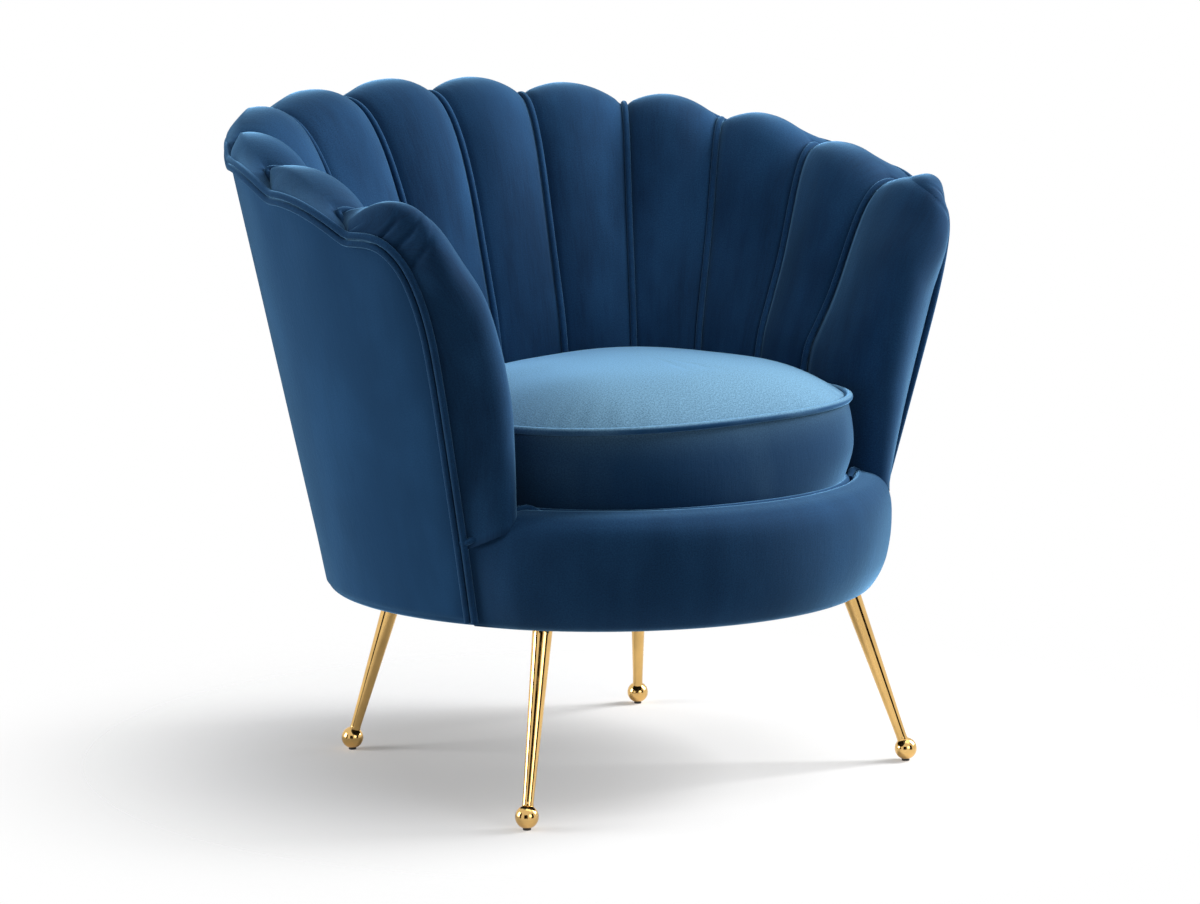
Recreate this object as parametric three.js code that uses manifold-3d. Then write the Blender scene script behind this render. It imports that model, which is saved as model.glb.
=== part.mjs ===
// Scallop back tub chair with a loose seat cushion, in millimetres, +Z up.
// The chair faces -Y. The floor is at Z = 0 and the origin is under the middle of its bounding box.
import * as THREE from 'three';
import { mergeVertices } from 'three/addons/utils/BufferGeometryUtils.js';
import Module from 'manifold-3d';

const wasm = await Module();
wasm.setup();

// Base and seat levels
const baseRadius = 305;
const baseHeight = 203;
const junctionHeight = 296;
const cushionWeltHeight = 411;

// Well: the inside of the tub at the seat
const wallDepth = 58;
const wellRadius = baseRadius - wallDepth;
const wellSetback = 58;
const wellRakeHeight = 447;
const padBottom = 300;

// Rim: the highest line of the seams as the padding rolls over the top
const backHeight = 745;
const armDrop = 98;
const armHeight = backHeight - armDrop;
const rimBackInset = 57;
const rimSideInset = 48.5;
const rimSetback = 3;
const rimPower = 2.4;
const rollWidth = 97;
const rollHeight = 145;
const weltDrop = 28;
const scallopRise = 13;
const channelCrownTop = 16;
const channelCrownSeat = 6;

// Curves of the roll: how far each tangent reaches along the width, the height or the drop
const rollTangentShare = 0.5;
const overTangentShare = 0.6;
const weltTangentShare = 0.16;
const crownStartShare = 0.25;
const crownGrowthShare = 0.4;
const crownFadePower = 1.5;
const tangentStepShare = 0.01;

// Outer flare per unit of height, at the middle of the back and at the arm fronts
const backFlareShare = 0.155;
const frontFlareShare = 0.267;
const rimDepth = baseRadius + backFlareShare * (backHeight - baseHeight) - rimBackInset;
const rimHalfWidth = baseRadius + frontFlareShare * (armHeight - baseHeight) - rimSideInset;

// Where the seams stand, in degrees from the middle of the back
const seatSeamAngles = [0, 20, 39, 56.5, 74.5, 92];
const rimSeamAngles = [0, 21.5, 42, 60, 79.5, 100];
const edgeSeamAngles = [0, 23, 45.5, 67, 87.5, 104.4];
const channelsPerSide = seatSeamAngles.length - 1;
const arrisAngle = 119.7;

// Front edge of the arm: degrees round the base, by share of the height from the junction to the arm's edge
const armEdgeHeight = armHeight - weltDrop;
const armEdgeHeightShares = [0, 0.18, 0.35, 0.55, 0.7, 0.82, 0.92, 0.98, 1, 1];
const armEdgeAngles = [119.7, 118.5, 117.9, 117.2, 116.7, 115.7, 113.9, 111.3, 108.2, 104.4];
const armEdgeStepShares = [0, 0.12, 0.24, 0.37, 0.48, 0.58, 0.68, 0.76, 0.85, 1];

// Nose of the arm: the corner that the front padding is drawn round
const noseOverhang = 23;
const noseHalfWidth = rimHalfWidth + noseOverhang;
const noseHalfWidthShares = [0.598, 0.603, 0.633, 0.719, 0.867, 1];
const noseReach = 238;
const noseReachShares = [0.992, 1, 0.992, 0.95, 0.773, 0.471];
const noseRise = 21;
const noseHeight = armHeight + noseRise;
const noseHeightShares = [0.506, 0.659, 0.816, 0.958, 1, 0.961];
const noseSeamShare = 0.62;
const noseWeltShare = 0.9;
const noseBackLimitShare = 0.8;

// Padding, skins and clearances
const gap = 0.3;
const seamGap = 0.5;
const padDepth = 30;
const rimPadDepth = 28;
const nosePadDepth = 24;
const coverThickness = 4;
const panelThickness = 5;
const underEdgeRadius = 9;
const underLipThickness = 2.7;
const skinGap = 0.6;
const panelTopGap = 1.5;
const skinDepth = coverThickness + skinGap + panelThickness;

// Welts
const edgeWelt = { radius: 3.4, standHeight: 4.1, spread: 3.6, bottom: 208, middle: 250 };
const cushionWelt = { radius: 4, inset: 3.2, reach: 5.3, bottomHeight: 323 };

// Base
const boardInset = 9.5;
const board = { radius: baseRadius - boardInset, thickness: 18, bottom: 206 };
const boardTop = board.bottom + board.thickness;
const dustCoverInset = 17;
const dustCover = { radius: baseRadius - dustCoverInset, thickness: 0.8, bottom: 204.9, holeRadius: 17 };
const borderDepth = 37;
const borderPanel = { outerRadius: board.radius - gap, height: 55 };
const border = {
  bulge: 26,
  innerRadius: baseRadius - borderDepth,
  clearRadius: board.radius + gap,
  seatHeight: 316,
  ledge: 280,
  endTuck: 0.5,
};
const borderStartAngle = 119.8;
const borderStepShares = [0, 0.012, 0.028, 0.05, 0.08, 0.115, 0.15, 0.185, 0.22, 0.255, 0.29, 0.325, 0.36, 0.395, 0.43, 0.465];
const borderEndShare = 0.012;
const borderBlendShare = 0.09;
const borderRiseShare = 0.066;
const borderHeightShares = [0, 0.03, 0.11, 0.28, 0.51, 0.74, 0.91, 1];
const borderBulgeShares = [-0.27, 0, 0.5, 0.85, 1, 0.96, 0.72, 0.2];

// Frame inside the padding
const rib = { thickness: 18, length: 440 };
const topRail = { thickness: 18, inset: 0.6 };
const armPost = { width: 16, depth: 26, footInset: 20, footAngle: 113, topInset: 22.4, topAngle: 102 };

// Seat
const seatRail = { thickness: 16, endThickness: 18, wellInset: 64, sideTop: 296 };
const strap = { width: 50, thickness: 2 };
const crossStrapShares = { front: 0.26, middle: 0.5, back: 0.74 };
const wellBack = wellRadius - wellSetback;
const deckPadInset = { side: 21, front: 43, back: 13 };
const deckPad = {
  halfWidth: wellRadius - deckPadInset.side,
  front: baseRadius - deckPadInset.front,
  back: wellBack - deckPadInset.back,
  middle: 43,
  bottom: 301,
  top: 317.5,
  edgeRadius: 4,
};
const cushionInset = { side: 13, front: 20, back: 18 };
const cushion = {
  halfWidth: wellRadius - cushionInset.side,
  front: baseRadius - cushionInset.front,
  back: wellBack - cushionInset.back,
  middle: 95,
  bottom: 318,
  crown: 45,
  seamTuck: 7.5,
  bottomTuck: 13,
};
const ovalPower = 2.15;
const cushionSideHeightShares = [0, 0, 0.2, 0.5, 0.8, 1, 1];
const cushionSideOffsetShares = [0, 1, 0, 0, 0, -1, 0];
const cushionSideTuckShares = [1, 0.95, 0.45, 0.27, 0.45, 0.95, 1];
const cushionCrownShares = [0.97, 0.92, 0.84, 0.72, 0.55, 0.3];
const cushionCrownPower = 4;

// Legs
const legPlaceShares = {
  front: { ballX: 0.869, ballY: -0.757, topX: 0.697, topY: -0.615 },
  back: { ballX: 0.679, ballY: 0.636, topX: 0.564, topY: 0.482 },
};
const leg = { topRadius: 11, bottomRadius: 6, studRadius: 4, studLength: 42, studGap: 0.4, socketDepth: 4 };
const ball = { radius: 12.6, flatHeight: 2.5, centreHeight: 13.9 };
const glide = { radius: 4.4, height: 2.2 };
const block = { width: 56, height: 50, centreHeight: 250 };

const overrun = 40;

// Steps of the curved forms
const channelSteps = 6;
const faceRuns = [0, 0.5, 0.75, 1, 1.25, 1.5, 1.75, 2, 2.25, 2.5, 2.75, 3];
const frontShares = [0, 0.12, 0.25, 0.38, 0.5, 0.62, 0.74, 0.87, 1];
const coverHeightShares = [0, 0.5, 1];
const ovalSteps = 44;
const legSides = 16;
const weltSides = 6;
const discSides = 80;

const velvet = { color: 0x1e4673, roughness: 0.85, metalness: 0 };
const seatVelvet = { color: 0x5f93bd, roughness: 0.8, metalness: 0 };
const brass = { color: 0xd9a441, roughness: 0.18, metalness: 1 };
const beech = { color: 0xc8a36d, roughness: 0.6, metalness: 0 };
const plywood = { color: 0xb98f5a, roughness: 0.65, metalness: 0 };
const webbing = { color: 0x2b2b2e, roughness: 0.9, metalness: 0 };
const foam = { color: 0xe8dfc4, roughness: 0.95, metalness: 0 };
const lining = { color: 0x16161a, roughness: 0.95, metalness: 0 };
const nylon = { color: 0x202022, roughness: 0.5, metalness: 0 };

const chair = new THREE.Group();
const seatGroup = new THREE.Group();
chair.add(seatGroup);

const sides = { left: -1, right: 1 };

function rad(degrees) {
  return THREE.MathUtils.degToRad(degrees);
}

function addMesh(name, geometry, finish, group = chair) {
  const mesh = new THREE.Mesh(geometry, new THREE.MeshStandardMaterial(finish));
  mesh.name = name;
  group.add(mesh);
  return mesh;
}

// Solids made of points

function signedVolume(points, faces) {
  let sum = 0;
  for (const [a, b, c] of faces) {
    sum += points[a].dot(new THREE.Vector3().crossVectors(points[b], points[c]));
  }
  return sum;
}

function facesToGeometry(points, faces) {
  const outward = signedVolume(points, faces) > 0;
  const index = faces.flatMap(([a, b, c]) => (outward ? [a, b, c] : [a, c, b]));
  const geometry = new THREE.BufferGeometry();
  const positions = new Float32Array(points.flatMap((p) => [p.x, p.y, p.z]));
  geometry.setAttribute('position', new THREE.BufferAttribute(positions, 3));
  geometry.setIndex(index);
  return geometry;
}

function pushQuad(faces, a, b, c, d) {
  faces.push([a, b, c], [a, c, d]);
}

// A solid swept through closed sections that all have the same number of points
function loft(sections, closed = false) {
  const count = sections[0].length;
  const points = sections.flat();
  const faces = [];
  const spans = closed ? sections.length : sections.length - 1;
  for (let i = 0; i < spans; i++) {
    const here = i * count;
    const there = ((i + 1) % sections.length) * count;
    for (let j = 0; j < count; j++) {
      const k = (j + 1) % count;
      pushQuad(faces, here + j, here + k, there + k, there + j);
    }
  }
  if (!closed) {
    for (const [start, flip] of [[0, true], [(sections.length - 1) * count, false]]) {
      capSection(faces, start, count, flip);
    }
  }
  return facesToGeometry(points, faces);
}

// An end face: the front half of a section is joined to its back half in pairs
function capSection(faces, start, count, flip) {
  const half = Math.floor(count / 2);
  for (let j = 0; j < half - 1; j++) {
    const ends = [start + j, start + j + 1, start + count - 2 - j, start + count - 1 - j];
    const [a, b, c, d] = flip ? [ends[0], ends[3], ends[2], ends[1]] : ends;
    pushQuad(faces, a, b, c, d);
  }
}

// A round-ended body of stacked rings, closed by a point at the bottom and at the top
function ringBody(rings, bottom, top) {
  const count = rings[0].length;
  const points = [...rings.flat(), bottom, top];
  const faces = [];
  for (let i = 0; i + 1 < rings.length; i++) {
    for (let j = 0; j < count; j++) {
      const k = (j + 1) % count;
      pushQuad(faces, i * count + j, i * count + k, (i + 1) * count + k, (i + 1) * count + j);
    }
  }
  const last = (rings.length - 1) * count;
  for (let j = 0; j < count; j++) {
    const k = (j + 1) % count;
    faces.push([k, j, points.length - 2], [last + j, last + k, points.length - 1]);
  }
  return facesToGeometry(points, faces);
}

function toSolid(geometry) {
  const plain = geometry.clone();
  plain.deleteAttribute('normal');
  plain.deleteAttribute('uv');
  const merged = mergeVertices(plain);
  return new wasm.Manifold(new wasm.Mesh({
    numProp: 3,
    vertProperties: new Float32Array(merged.attributes.position.array),
    triVerts: new Uint32Array(merged.index.array),
  }));
}

function toGeometry(solid) {
  const mesh = solid.getMesh();
  const geometry = new THREE.BufferGeometry();
  geometry.setAttribute('position', new THREE.BufferAttribute(new Float32Array(mesh.vertProperties), 3));
  geometry.setIndex([...mesh.triVerts]);
  return geometry;
}

function box(width, depth, height, x, y, bottom) {
  const geometry = new THREE.BoxGeometry(width, depth, height);
  return geometry.translate(x, y, bottom + height / 2);
}

function disc(radius, thickness, bottom, x = 0, y = 0, sides = discSides) {
  const geometry = new THREE.CylinderGeometry(radius, radius, thickness, sides);
  return geometry.rotateX(Math.PI / 2).translate(x, y, bottom + thickness / 2);
}

// A round bar of rings along a line; a ring with a level is cut flat at that height
function bar(start, direction, rings, sides) {
  const across = new THREE.Vector3(direction.z, 0, -direction.x).normalize();
  const beside = new THREE.Vector3().crossVectors(direction, across);
  const sections = rings.map(({ distance, radius, level }) => {
    const centre = start.clone().addScaledVector(direction, distance);
    return Array.from({ length: sides }, (_, i) => {
      const turn = (2 * Math.PI * (i + 1 / 2)) / sides;
      const point = centre.clone().addScaledVector(across, radius * Math.cos(turn));
      point.addScaledVector(beside, radius * Math.sin(turn));
      return level === undefined ? point : point.addScaledVector(direction, (level - point.z) / direction.z);
    });
  });
  return loft(sections);
}

// A cord of even thickness along a row of points, on a surface whose outward directions are given
function cord(points, outwards, radius, closed) {
  const count = points.length;
  const sections = points.map((point, i) => {
    const before = points[closed ? (i + count - 1) % count : Math.max(i - 1, 0)];
    const after = points[closed ? (i + 1) % count : Math.min(i + 1, count - 1)];
    const along = new THREE.Vector3().subVectors(after, before).normalize();
    const beside = new THREE.Vector3().crossVectors(along, outwards[i]).normalize();
    const out = new THREE.Vector3().crossVectors(beside, along);
    return Array.from({ length: weltSides }, (_, k) => {
      const turn = (2 * Math.PI * k) / weltSides;
      const centre = point.clone().addScaledVector(out, radius * Math.cos(turn));
      return centre.addScaledVector(beside, radius * Math.sin(turn));
    });
  });
  return loft(sections, closed);
}

// Shape of the tub

function between(values, place) {
  const low = Math.min(Math.floor(place), values.length - 2);
  return THREE.MathUtils.lerp(values[low], values[low + 1], place - low);
}

function shellFlare(angle) {
  const turn = Math.min(Math.abs(angle), arrisAngle) / arrisAngle;
  return THREE.MathUtils.lerp(backFlareShare, frontFlareShare, (1 - Math.cos(Math.PI * turn)) / 2);
}

function shellRadius(angle, height) {
  return baseRadius + shellFlare(angle) * (height - baseHeight);
}

function polar(radius, angle, height) {
  return new THREE.Vector3(radius * Math.sin(rad(angle)), radius * Math.cos(rad(angle)), height);
}

function shellPoint(angle, height, inset = 0) {
  return polar(shellRadius(angle, height) - inset, angle, height);
}

function wellPoint(place) {
  const point = polar(wellRadius, between(seatSeamAngles, place), wellRakeHeight);
  point.y -= wellSetback;
  return point;
}

function rimHeight(place) {
  const share = between(rimSeamAngles, place) / rimSeamAngles[channelsPerSide];
  return THREE.MathUtils.lerp(backHeight, armHeight, share * share);
}

function rimPoint(place) {
  const angle = rad(between(rimSeamAngles, place));
  const across = Math.abs(Math.sin(angle)) / rimHalfWidth;
  const along = Math.abs(Math.cos(angle)) / rimDepth;
  const radius = (across ** rimPower + along ** rimPower) ** (-1 / rimPower);
  return new THREE.Vector3(
    radius * Math.sin(angle),
    radius * Math.cos(angle) + rimSetback,
    rimHeight(place),
  );
}

function crownShare(place, low) {
  const across = 2 * (place - low) - 1;
  return 1 - across * across;
}

function edgeHeight(place, low) {
  return rimHeight(place) - weltDrop + scallopRise * crownShare(place, low);
}

function bezier(a, b, c, d, t) {
  return new THREE.CubicBezierCurve3(a, b, c, d).getPoint(t);
}

// Outline of the padding over a seam: up the inside, over the rim and down to the outer welt.
// run goes from 0 at the bottom to 1 at the start of the roll, 2 at the rim and 3 at the welt.
function seamLine(place, low) {
  const seat = wellPoint(place);
  const rim = rimPoint(place);
  const outward = new THREE.Vector3().subVectors(rim, seat).setZ(0).normalize();
  const rollStart = rim.clone().addScaledVector(outward, -rollWidth).setZ(rim.z - rollHeight);
  const welt = shellPoint(between(edgeSeamAngles, place), edgeHeight(place, low));
  return { seat, foot: seat.clone().setZ(padBottom), rollStart, rim, welt, outward };
}

function seamPoint(line, run) {
  if (run <= 0.5) return line.foot.clone().lerp(line.seat, run * 2);
  if (run <= 1) return line.seat.clone().lerp(line.rollStart, run * 2 - 1);
  if (run <= 2) {
    const rise = new THREE.Vector3().subVectors(line.rollStart, line.seat).normalize();
    const start = line.rollStart.clone().addScaledVector(rise, rollHeight * rollTangentShare);
    const end = line.rim.clone().addScaledVector(line.outward, -rollWidth * rollTangentShare);
    return bezier(line.rollStart, start, end, line.rim, run - 1);
  }
  const level = new THREE.Vector3().subVectors(line.welt, line.rim).setZ(0);
  const start = line.rim.clone().addScaledVector(level, overTangentShare);
  const end = line.welt.clone().addScaledVector(level, -weltTangentShare);
  end.z += weltDrop * overTangentShare;
  return bezier(line.rim, start, end, line.welt, run - 2);
}

// The padded face of a channel stands proud of its seams
function channelPoint(place, low, run) {
  const line = seamLine(place, low);
  const point = seamPoint(line, run);
  const share = crownShare(place, low);
  if (share <= 0) return point;
  const before = seamPoint(line, Math.max(run - tangentStepShare, 0));
  const after = seamPoint(line, Math.min(run + tangentStepShare, 3));
  const along = after.sub(before);
  const outward = line.outward;
  const side = new THREE.Vector3(outward.y, -outward.x, 0);
  const proud = new THREE.Vector3().crossVectors(side, along).normalize();
  const fade = run > 2 ? 1 - (run - 2) ** crownFadePower : 1;
  const growth = THREE.MathUtils.clamp(run / 2 - crownStartShare, 0, 1 - crownGrowthShare) / (1 - crownGrowthShare);
  const crown = THREE.MathUtils.lerp(channelCrownSeat, channelCrownTop, growth) * fade;
  return point.addScaledVector(proud, crown * share);
}

function rimPadPoint(line) {
  return line.rim.clone().setZ(line.rim.z - rimPadDepth);
}

function weltInside(line, inset) {
  const point = line.welt.clone();
  const radius = Math.hypot(point.x, point.y);
  const scale = (radius - inset) / radius;
  return new THREE.Vector3(point.x * scale, point.y * scale, point.z);
}

// The back of the padding, with the same runs as its face
function padBackPoint(place, low, run) {
  const line = seamLine(place, low);
  if (run <= 1) return seamPoint(line, run).addScaledVector(line.outward, padDepth);
  const shoulder = line.rollStart.clone().addScaledVector(line.outward, padDepth);
  const underRim = rimPadPoint(line);
  if (run <= 2) return shoulder.lerp(underRim, run - 1);
  return underRim.lerp(weltInside(line, skinDepth), run - 2);
}

function mirrorSections(sections, side) {
  return sections.map((section) => section.map((p) => new THREE.Vector3(p.x * side, p.y, p.z)));
}

// Share of a channel that is left out at each seam
function seamEdge(low) {
  return seamGap / (rad(seatSeamAngles[low + 1] - seatSeamAngles[low]) * wellRadius);
}

function backChannel(low, side) {
  const edge = seamEdge(low);
  const sections = [];
  for (let i = 0; i <= channelSteps; i++) {
    const place = low + edge + (1 - 2 * edge) * (i / channelSteps);
    const face = faceRuns.map((run) => channelPoint(place, low, run));
    const back = faceRuns.map((run) => padBackPoint(place, low, run)).reverse();
    sections.push([...face, ...back]);
  }
  return loft(mirrorSections(sections, side));
}

// Front of the arm

function alongShares(shares, values, share) {
  let i = 0;
  while (i < shares.length - 2 && share > shares[i + 1]) i++;
  const part = (share - shares[i]) / (shares[i + 1] - shares[i]);
  return THREE.MathUtils.lerp(values[i], values[i + 1], part);
}

// share goes from 0 at the junction to 1 at the last seam's outer end
function armEdgePoint(share, inset = 0) {
  const heightShare = alongShares(armEdgeStepShares, armEdgeHeightShares, share);
  const angle = alongShares(armEdgeStepShares, armEdgeAngles, share);
  const height = THREE.MathUtils.lerp(junctionHeight, armEdgeHeight, heightShare);
  return shellPoint(angle, height, inset);
}

function nosePoint(run) {
  const places = noseHeightShares.map((share, i) => new THREE.Vector3(
    noseHalfWidth * noseHalfWidthShares[i],
    -noseReach * noseReachShares[i],
    noseHeight * share,
  ));
  return new THREE.CatmullRomCurve3(places).getPoint(run / 3);
}

function lastSeam() {
  return seamLine(channelsPerSide + seamEdge(channelsPerSide - 1), channelsPerSide);
}

function frontPadPoint(run, share) {
  const line = lastSeam();
  const seam = seamPoint(line, run);
  const welt = armEdgePoint(run / 3);
  const nose = nosePoint(run);
  const inward = line.outward.clone().negate();
  const start = seam.clone().lerp(nose, noseSeamShare).addScaledVector(inward, channelCrownTop * (1 - run / 3));
  const end = welt.clone().lerp(nose, noseWeltShare);
  return bezier(seam, start, end, welt, share);
}

function frontPadBack(run, share) {
  const seam = padBackPoint(channelsPerSide + seamEdge(channelsPerSide - 1), channelsPerSide, run);
  const welt = armEdgePoint(run / 3, skinDepth);
  const core = seam.clone().lerp(welt, 1 / 2);
  const face = frontPadPoint(run, share);
  const middle = face.clone().lerp(core, Math.min(nosePadDepth / face.distanceTo(core), noseBackLimitShare));
  if (share < 1 / 2) return seam.lerp(middle, share * 2);
  return middle.lerp(welt, share * 2 - 1);
}

function frontChannel(side) {
  const sections = faceRuns.slice(0, -1).map((run) => {
    const face = frontShares.map((share) => frontPadPoint(run, share));
    const back = frontShares.map((share) => frontPadBack(run, share));
    return [...back, ...face.reverse()];
  });
  return loft(mirrorSections(sections, side));
}

// Outer skins

// Row of places along the outer edge of one side, from the middle of the back to the junction
function edgeStations() {
  const stations = [];
  for (let low = 0; low < channelsPerSide; low++) {
    for (let i = 0; i < channelSteps; i++) {
      const place = low + i / channelSteps;
      stations.push({ angle: between(edgeSeamAngles, place), top: edgeHeight(place, low) });
    }
  }
  for (const share of faceRuns.map((run) => run / 3).reverse()) {
    const heightShare = alongShares(armEdgeStepShares, armEdgeHeightShares, share);
    const top = THREE.MathUtils.lerp(junctionHeight, armEdgeHeight, heightShare);
    stations.push({ angle: alongShares(armEdgeStepShares, armEdgeAngles, share), top });
  }
  return stations;
}

// The same row, pulled back by a clearance from the padding
function skinStations() {
  return edgeStations().map(({ angle, top }) => ({
    angle: Math.max(angle - THREE.MathUtils.radToDeg(gap / baseRadius), 0),
    top: top - 2 * gap,
  }));
}

function skinSection({ angle, top }, side) {
  const outer = [
    polar(baseRadius - underEdgeRadius, angle, baseHeight),
    polar(baseRadius - underEdgeRadius * (1 - Math.SQRT1_2), angle, baseHeight + underEdgeRadius * (1 - Math.SQRT1_2)),
  ];
  const inner = [
    polar(baseRadius - underEdgeRadius, angle, baseHeight + underLipThickness),
    shellPoint(angle, baseHeight + underLipThickness, coverThickness),
  ];
  for (const share of coverHeightShares) {
    const height = THREE.MathUtils.lerp(baseHeight + underEdgeRadius, top, share);
    outer.push(shellPoint(angle, height));
    inner.push(shellPoint(angle, height, coverThickness));
  }
  return mirrorSections([[...outer, ...inner.reverse()]], side)[0];
}

function outerCover() {
  const stations = skinStations();
  const left = stations.slice(1).reverse().map((station) => skinSection(station, sides.left));
  const right = stations.map((station) => skinSection(station, sides.right));
  return loft([...left, ...right]);
}

function outerPanel(side) {
  const sections = skinStations().map(({ angle, top }, i) => {
    const turn = i === 0 ? THREE.MathUtils.radToDeg(gap / baseRadius) : angle;
    const heights = coverHeightShares.map((share) => THREE.MathUtils.lerp(board.bottom + gap, top - panelTopGap, share));
    const outer = heights.map((height) => shellPoint(turn, height, coverThickness + skinGap));
    const inner = heights.map((height) => shellPoint(turn, height, skinDepth));
    return [...outer, ...inner.reverse()];
  });
  return loft(mirrorSections(sections, side));
}

// Double welt along the edge of the outer cover, from one end of the border to the other
function edgeWeltPath() {
  const stations = edgeStations();
  for (const top of [edgeWelt.middle, edgeWelt.bottom]) {
    stations.push({ angle: arrisAngle, top });
  }
  const right = stations.map(({ angle, top }) => ({ angle, top }));
  const left = stations.slice(1).reverse().map(({ angle, top }) => ({ angle: -angle, top }));
  return [...left, ...right];
}

function edgeWeltCord(offset) {
  const path = edgeWeltPath();
  const outwards = path.map(({ angle }) => polar(1, angle, 0));
  const middles = path.map(({ angle, top }) => polar(shellRadius(angle, top) + edgeWelt.standHeight, angle, top));
  const points = middles.map((point, i) => {
    const along = new THREE.Vector3().subVectors(
      middles[Math.min(i + 1, middles.length - 1)],
      middles[Math.max(i - 1, 0)],
    );
    const beside = new THREE.Vector3().crossVectors(outwards[i], along).normalize();
    return point.clone().addScaledVector(beside, offset);
  });
  return cord(points, outwards, edgeWelt.radius, false);
}

// Border under the seat cushion

function borderSection(share) {
  const angle = THREE.MathUtils.lerp(borderStartAngle, 2 * 180 - borderStartAngle, share);
  const fromEnd = Math.min(share, 1 - share);
  const rise = Math.min(fromEnd / borderRiseShare, 1);
  const top = THREE.MathUtils.lerp(junctionHeight - gap, border.seatHeight, rise);
  const blend = THREE.MathUtils.smoothstep(fromEnd, borderEndShare, borderBlendShare);
  const outer = borderHeightShares.map((heightShare, i) => {
    const height = THREE.MathUtils.lerp(baseHeight, top, heightShare);
    const tuck = i === 0 ? underEdgeRadius : border.endTuck;
    const endRadius = Math.max(shellRadius(arrisAngle, height) - tuck, border.clearRadius + gap);
    const bulged = baseRadius + border.bulge * borderBulgeShares[i];
    return polar(THREE.MathUtils.lerp(endRadius, bulged, blend), angle, height);
  });
  return [
    ...outer,
    polar(border.innerRadius, angle, top),
    polar(border.innerRadius, angle, border.ledge),
    polar(border.clearRadius, angle, border.ledge),
    polar(border.clearRadius, angle, baseHeight),
  ];
}

function frontBorder() {
  const shares = [...borderStepShares, 1 / 2, ...borderStepShares.map((share) => 1 - share).reverse()];
  return loft(shares.map(borderSection));
}

function borderBacking() {
  const innerRadius = borderPanel.outerRadius - panelThickness;
  const bottom = boardTop + gap;
  const top = bottom + borderPanel.height;
  const shares = [...borderStepShares, 1 / 2, ...borderStepShares.map((share) => 1 - share).reverse()];
  return loft(shares.map((share) => {
    const angle = THREE.MathUtils.lerp(borderStartAngle, 2 * 180 - borderStartAngle, share);
    return [
      polar(innerRadius, angle, bottom),
      polar(borderPanel.outerRadius, angle, bottom),
      polar(borderPanel.outerRadius, angle, top),
      polar(innerRadius, angle, top),
    ];
  }));
}

// Frame inside the padding

function innerPanel(side) {
  const runs = faceRuns.filter((run) => run <= 1);
  const sections = [];
  for (let i = 0; i <= channelsPerSide * channelSteps; i++) {
    const place = Math.max(i / channelSteps, seamEdge(0));
    const low = Math.floor(place);
    const line = seamLine(place, low);
    const face = runs.map((run) => seamPoint(line, run).addScaledVector(line.outward, padDepth + gap));
    const back = face.map((point) => point.clone().addScaledVector(line.outward, panelThickness));
    sections.push([...back, ...face.reverse()]);
  }
  return loft(mirrorSections(sections, side));
}

// Space between the inner and the outer panels, up to the rim
function cavitySection(place) {
  const line = seamLine(place, Math.floor(place));
  const angle = between(edgeSeamAngles, place);
  const inset = padDepth + panelThickness + 2 * gap;
  const runs = faceRuns.filter((run) => run > 0 && run <= 1);
  const inner = [
    line.foot.clone().setZ(boardTop + gap).addScaledVector(line.outward, inset),
    ...runs.map((run) => seamPoint(line, run).addScaledVector(line.outward, inset)),
    rimPadPoint(line).addScaledVector(line.outward, 2 * gap),
  ];
  const outer = inner.map((point) => shellPoint(angle, point.z, skinDepth + 2 * gap));
  return [...inner, ...outer.reverse()];
}

function channelPlaces() {
  return Array.from({ length: channelsPerSide * channelSteps + 1 }, (_, i) => i / channelSteps);
}

function cavity() {
  const right = channelPlaces().map(cavitySection);
  const whole = toSolid(loft(right)).add(toSolid(loft(mirrorSections(right, sides.left))));
  return whole.subtract(topRailSolid(overrun, seamGap));
}

function ribPlate(place, side, space) {
  const line = seamLine(place, Math.floor(place));
  const plate = box(rib.thickness, rib.length, backHeight, 0, 0, 0);
  plate.rotateZ(-Math.atan2(line.outward.x * side, line.outward.y));
  plate.translate(line.seat.x * side, line.seat.y, 0);
  return toGeometry(toSolid(plate).intersect(space));
}

// Corners of the top rail at a place; extra widens it on every side and clearance lowers its underside
function topRailSection(place, extra, clearance) {
  const line = seamLine(place, Math.floor(place));
  const angle = between(edgeSeamAngles, place);
  const top = line.rim.z - rimPadDepth - gap;
  const bottom = top - topRail.thickness - clearance;
  const toWelt = new THREE.Vector3().subVectors(line.welt, line.rim).setZ(0).normalize();
  const inner = line.rim.clone().addScaledVector(toWelt, topRail.inset);
  return [[inner.clone().setZ(bottom), shellPoint(angle, bottom, skinDepth + gap)],
    [shellPoint(angle, top, skinDepth + gap), inner.clone().setZ(top)]].flatMap(([from, to], row) => {
    const across = new THREE.Vector3().subVectors(to, from).setZ(0).normalize();
    return [from.clone().addScaledVector(across, -extra), to.clone().addScaledVector(across, extra)]
      .map((point) => point.setZ(point.z + row * extra));
  });
}

function topRailSolid(extra, clearance) {
  const sections = channelPlaces().reverse().map((place) => topRailSection(place, extra, clearance));
  return toSolid(loft(sections)).add(toSolid(loft(mirrorSections(sections, sides.left))));
}

function armPostBar(side) {
  const bottom = boardTop + gap;
  const top = rimHeight(channelsPerSide) - rimPadDepth - topRail.thickness - 2 * gap;
  const corners = [[-1, -1], [1, -1], [1, 1], [-1, 1]];
  const ends = [
    polar(baseRadius - armPost.footInset, armPost.footAngle, bottom),
    shellPoint(armPost.topAngle, top, armPost.topInset),
  ];
  const sections = ends.map((end) => corners.map(([right, back]) => new THREE.Vector3(
    end.x + (right * armPost.width) / 2,
    end.y + (back * armPost.depth) / 2,
    end.z,
  )));
  return loft(mirrorSections(sections, side));
}

// Seat

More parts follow.
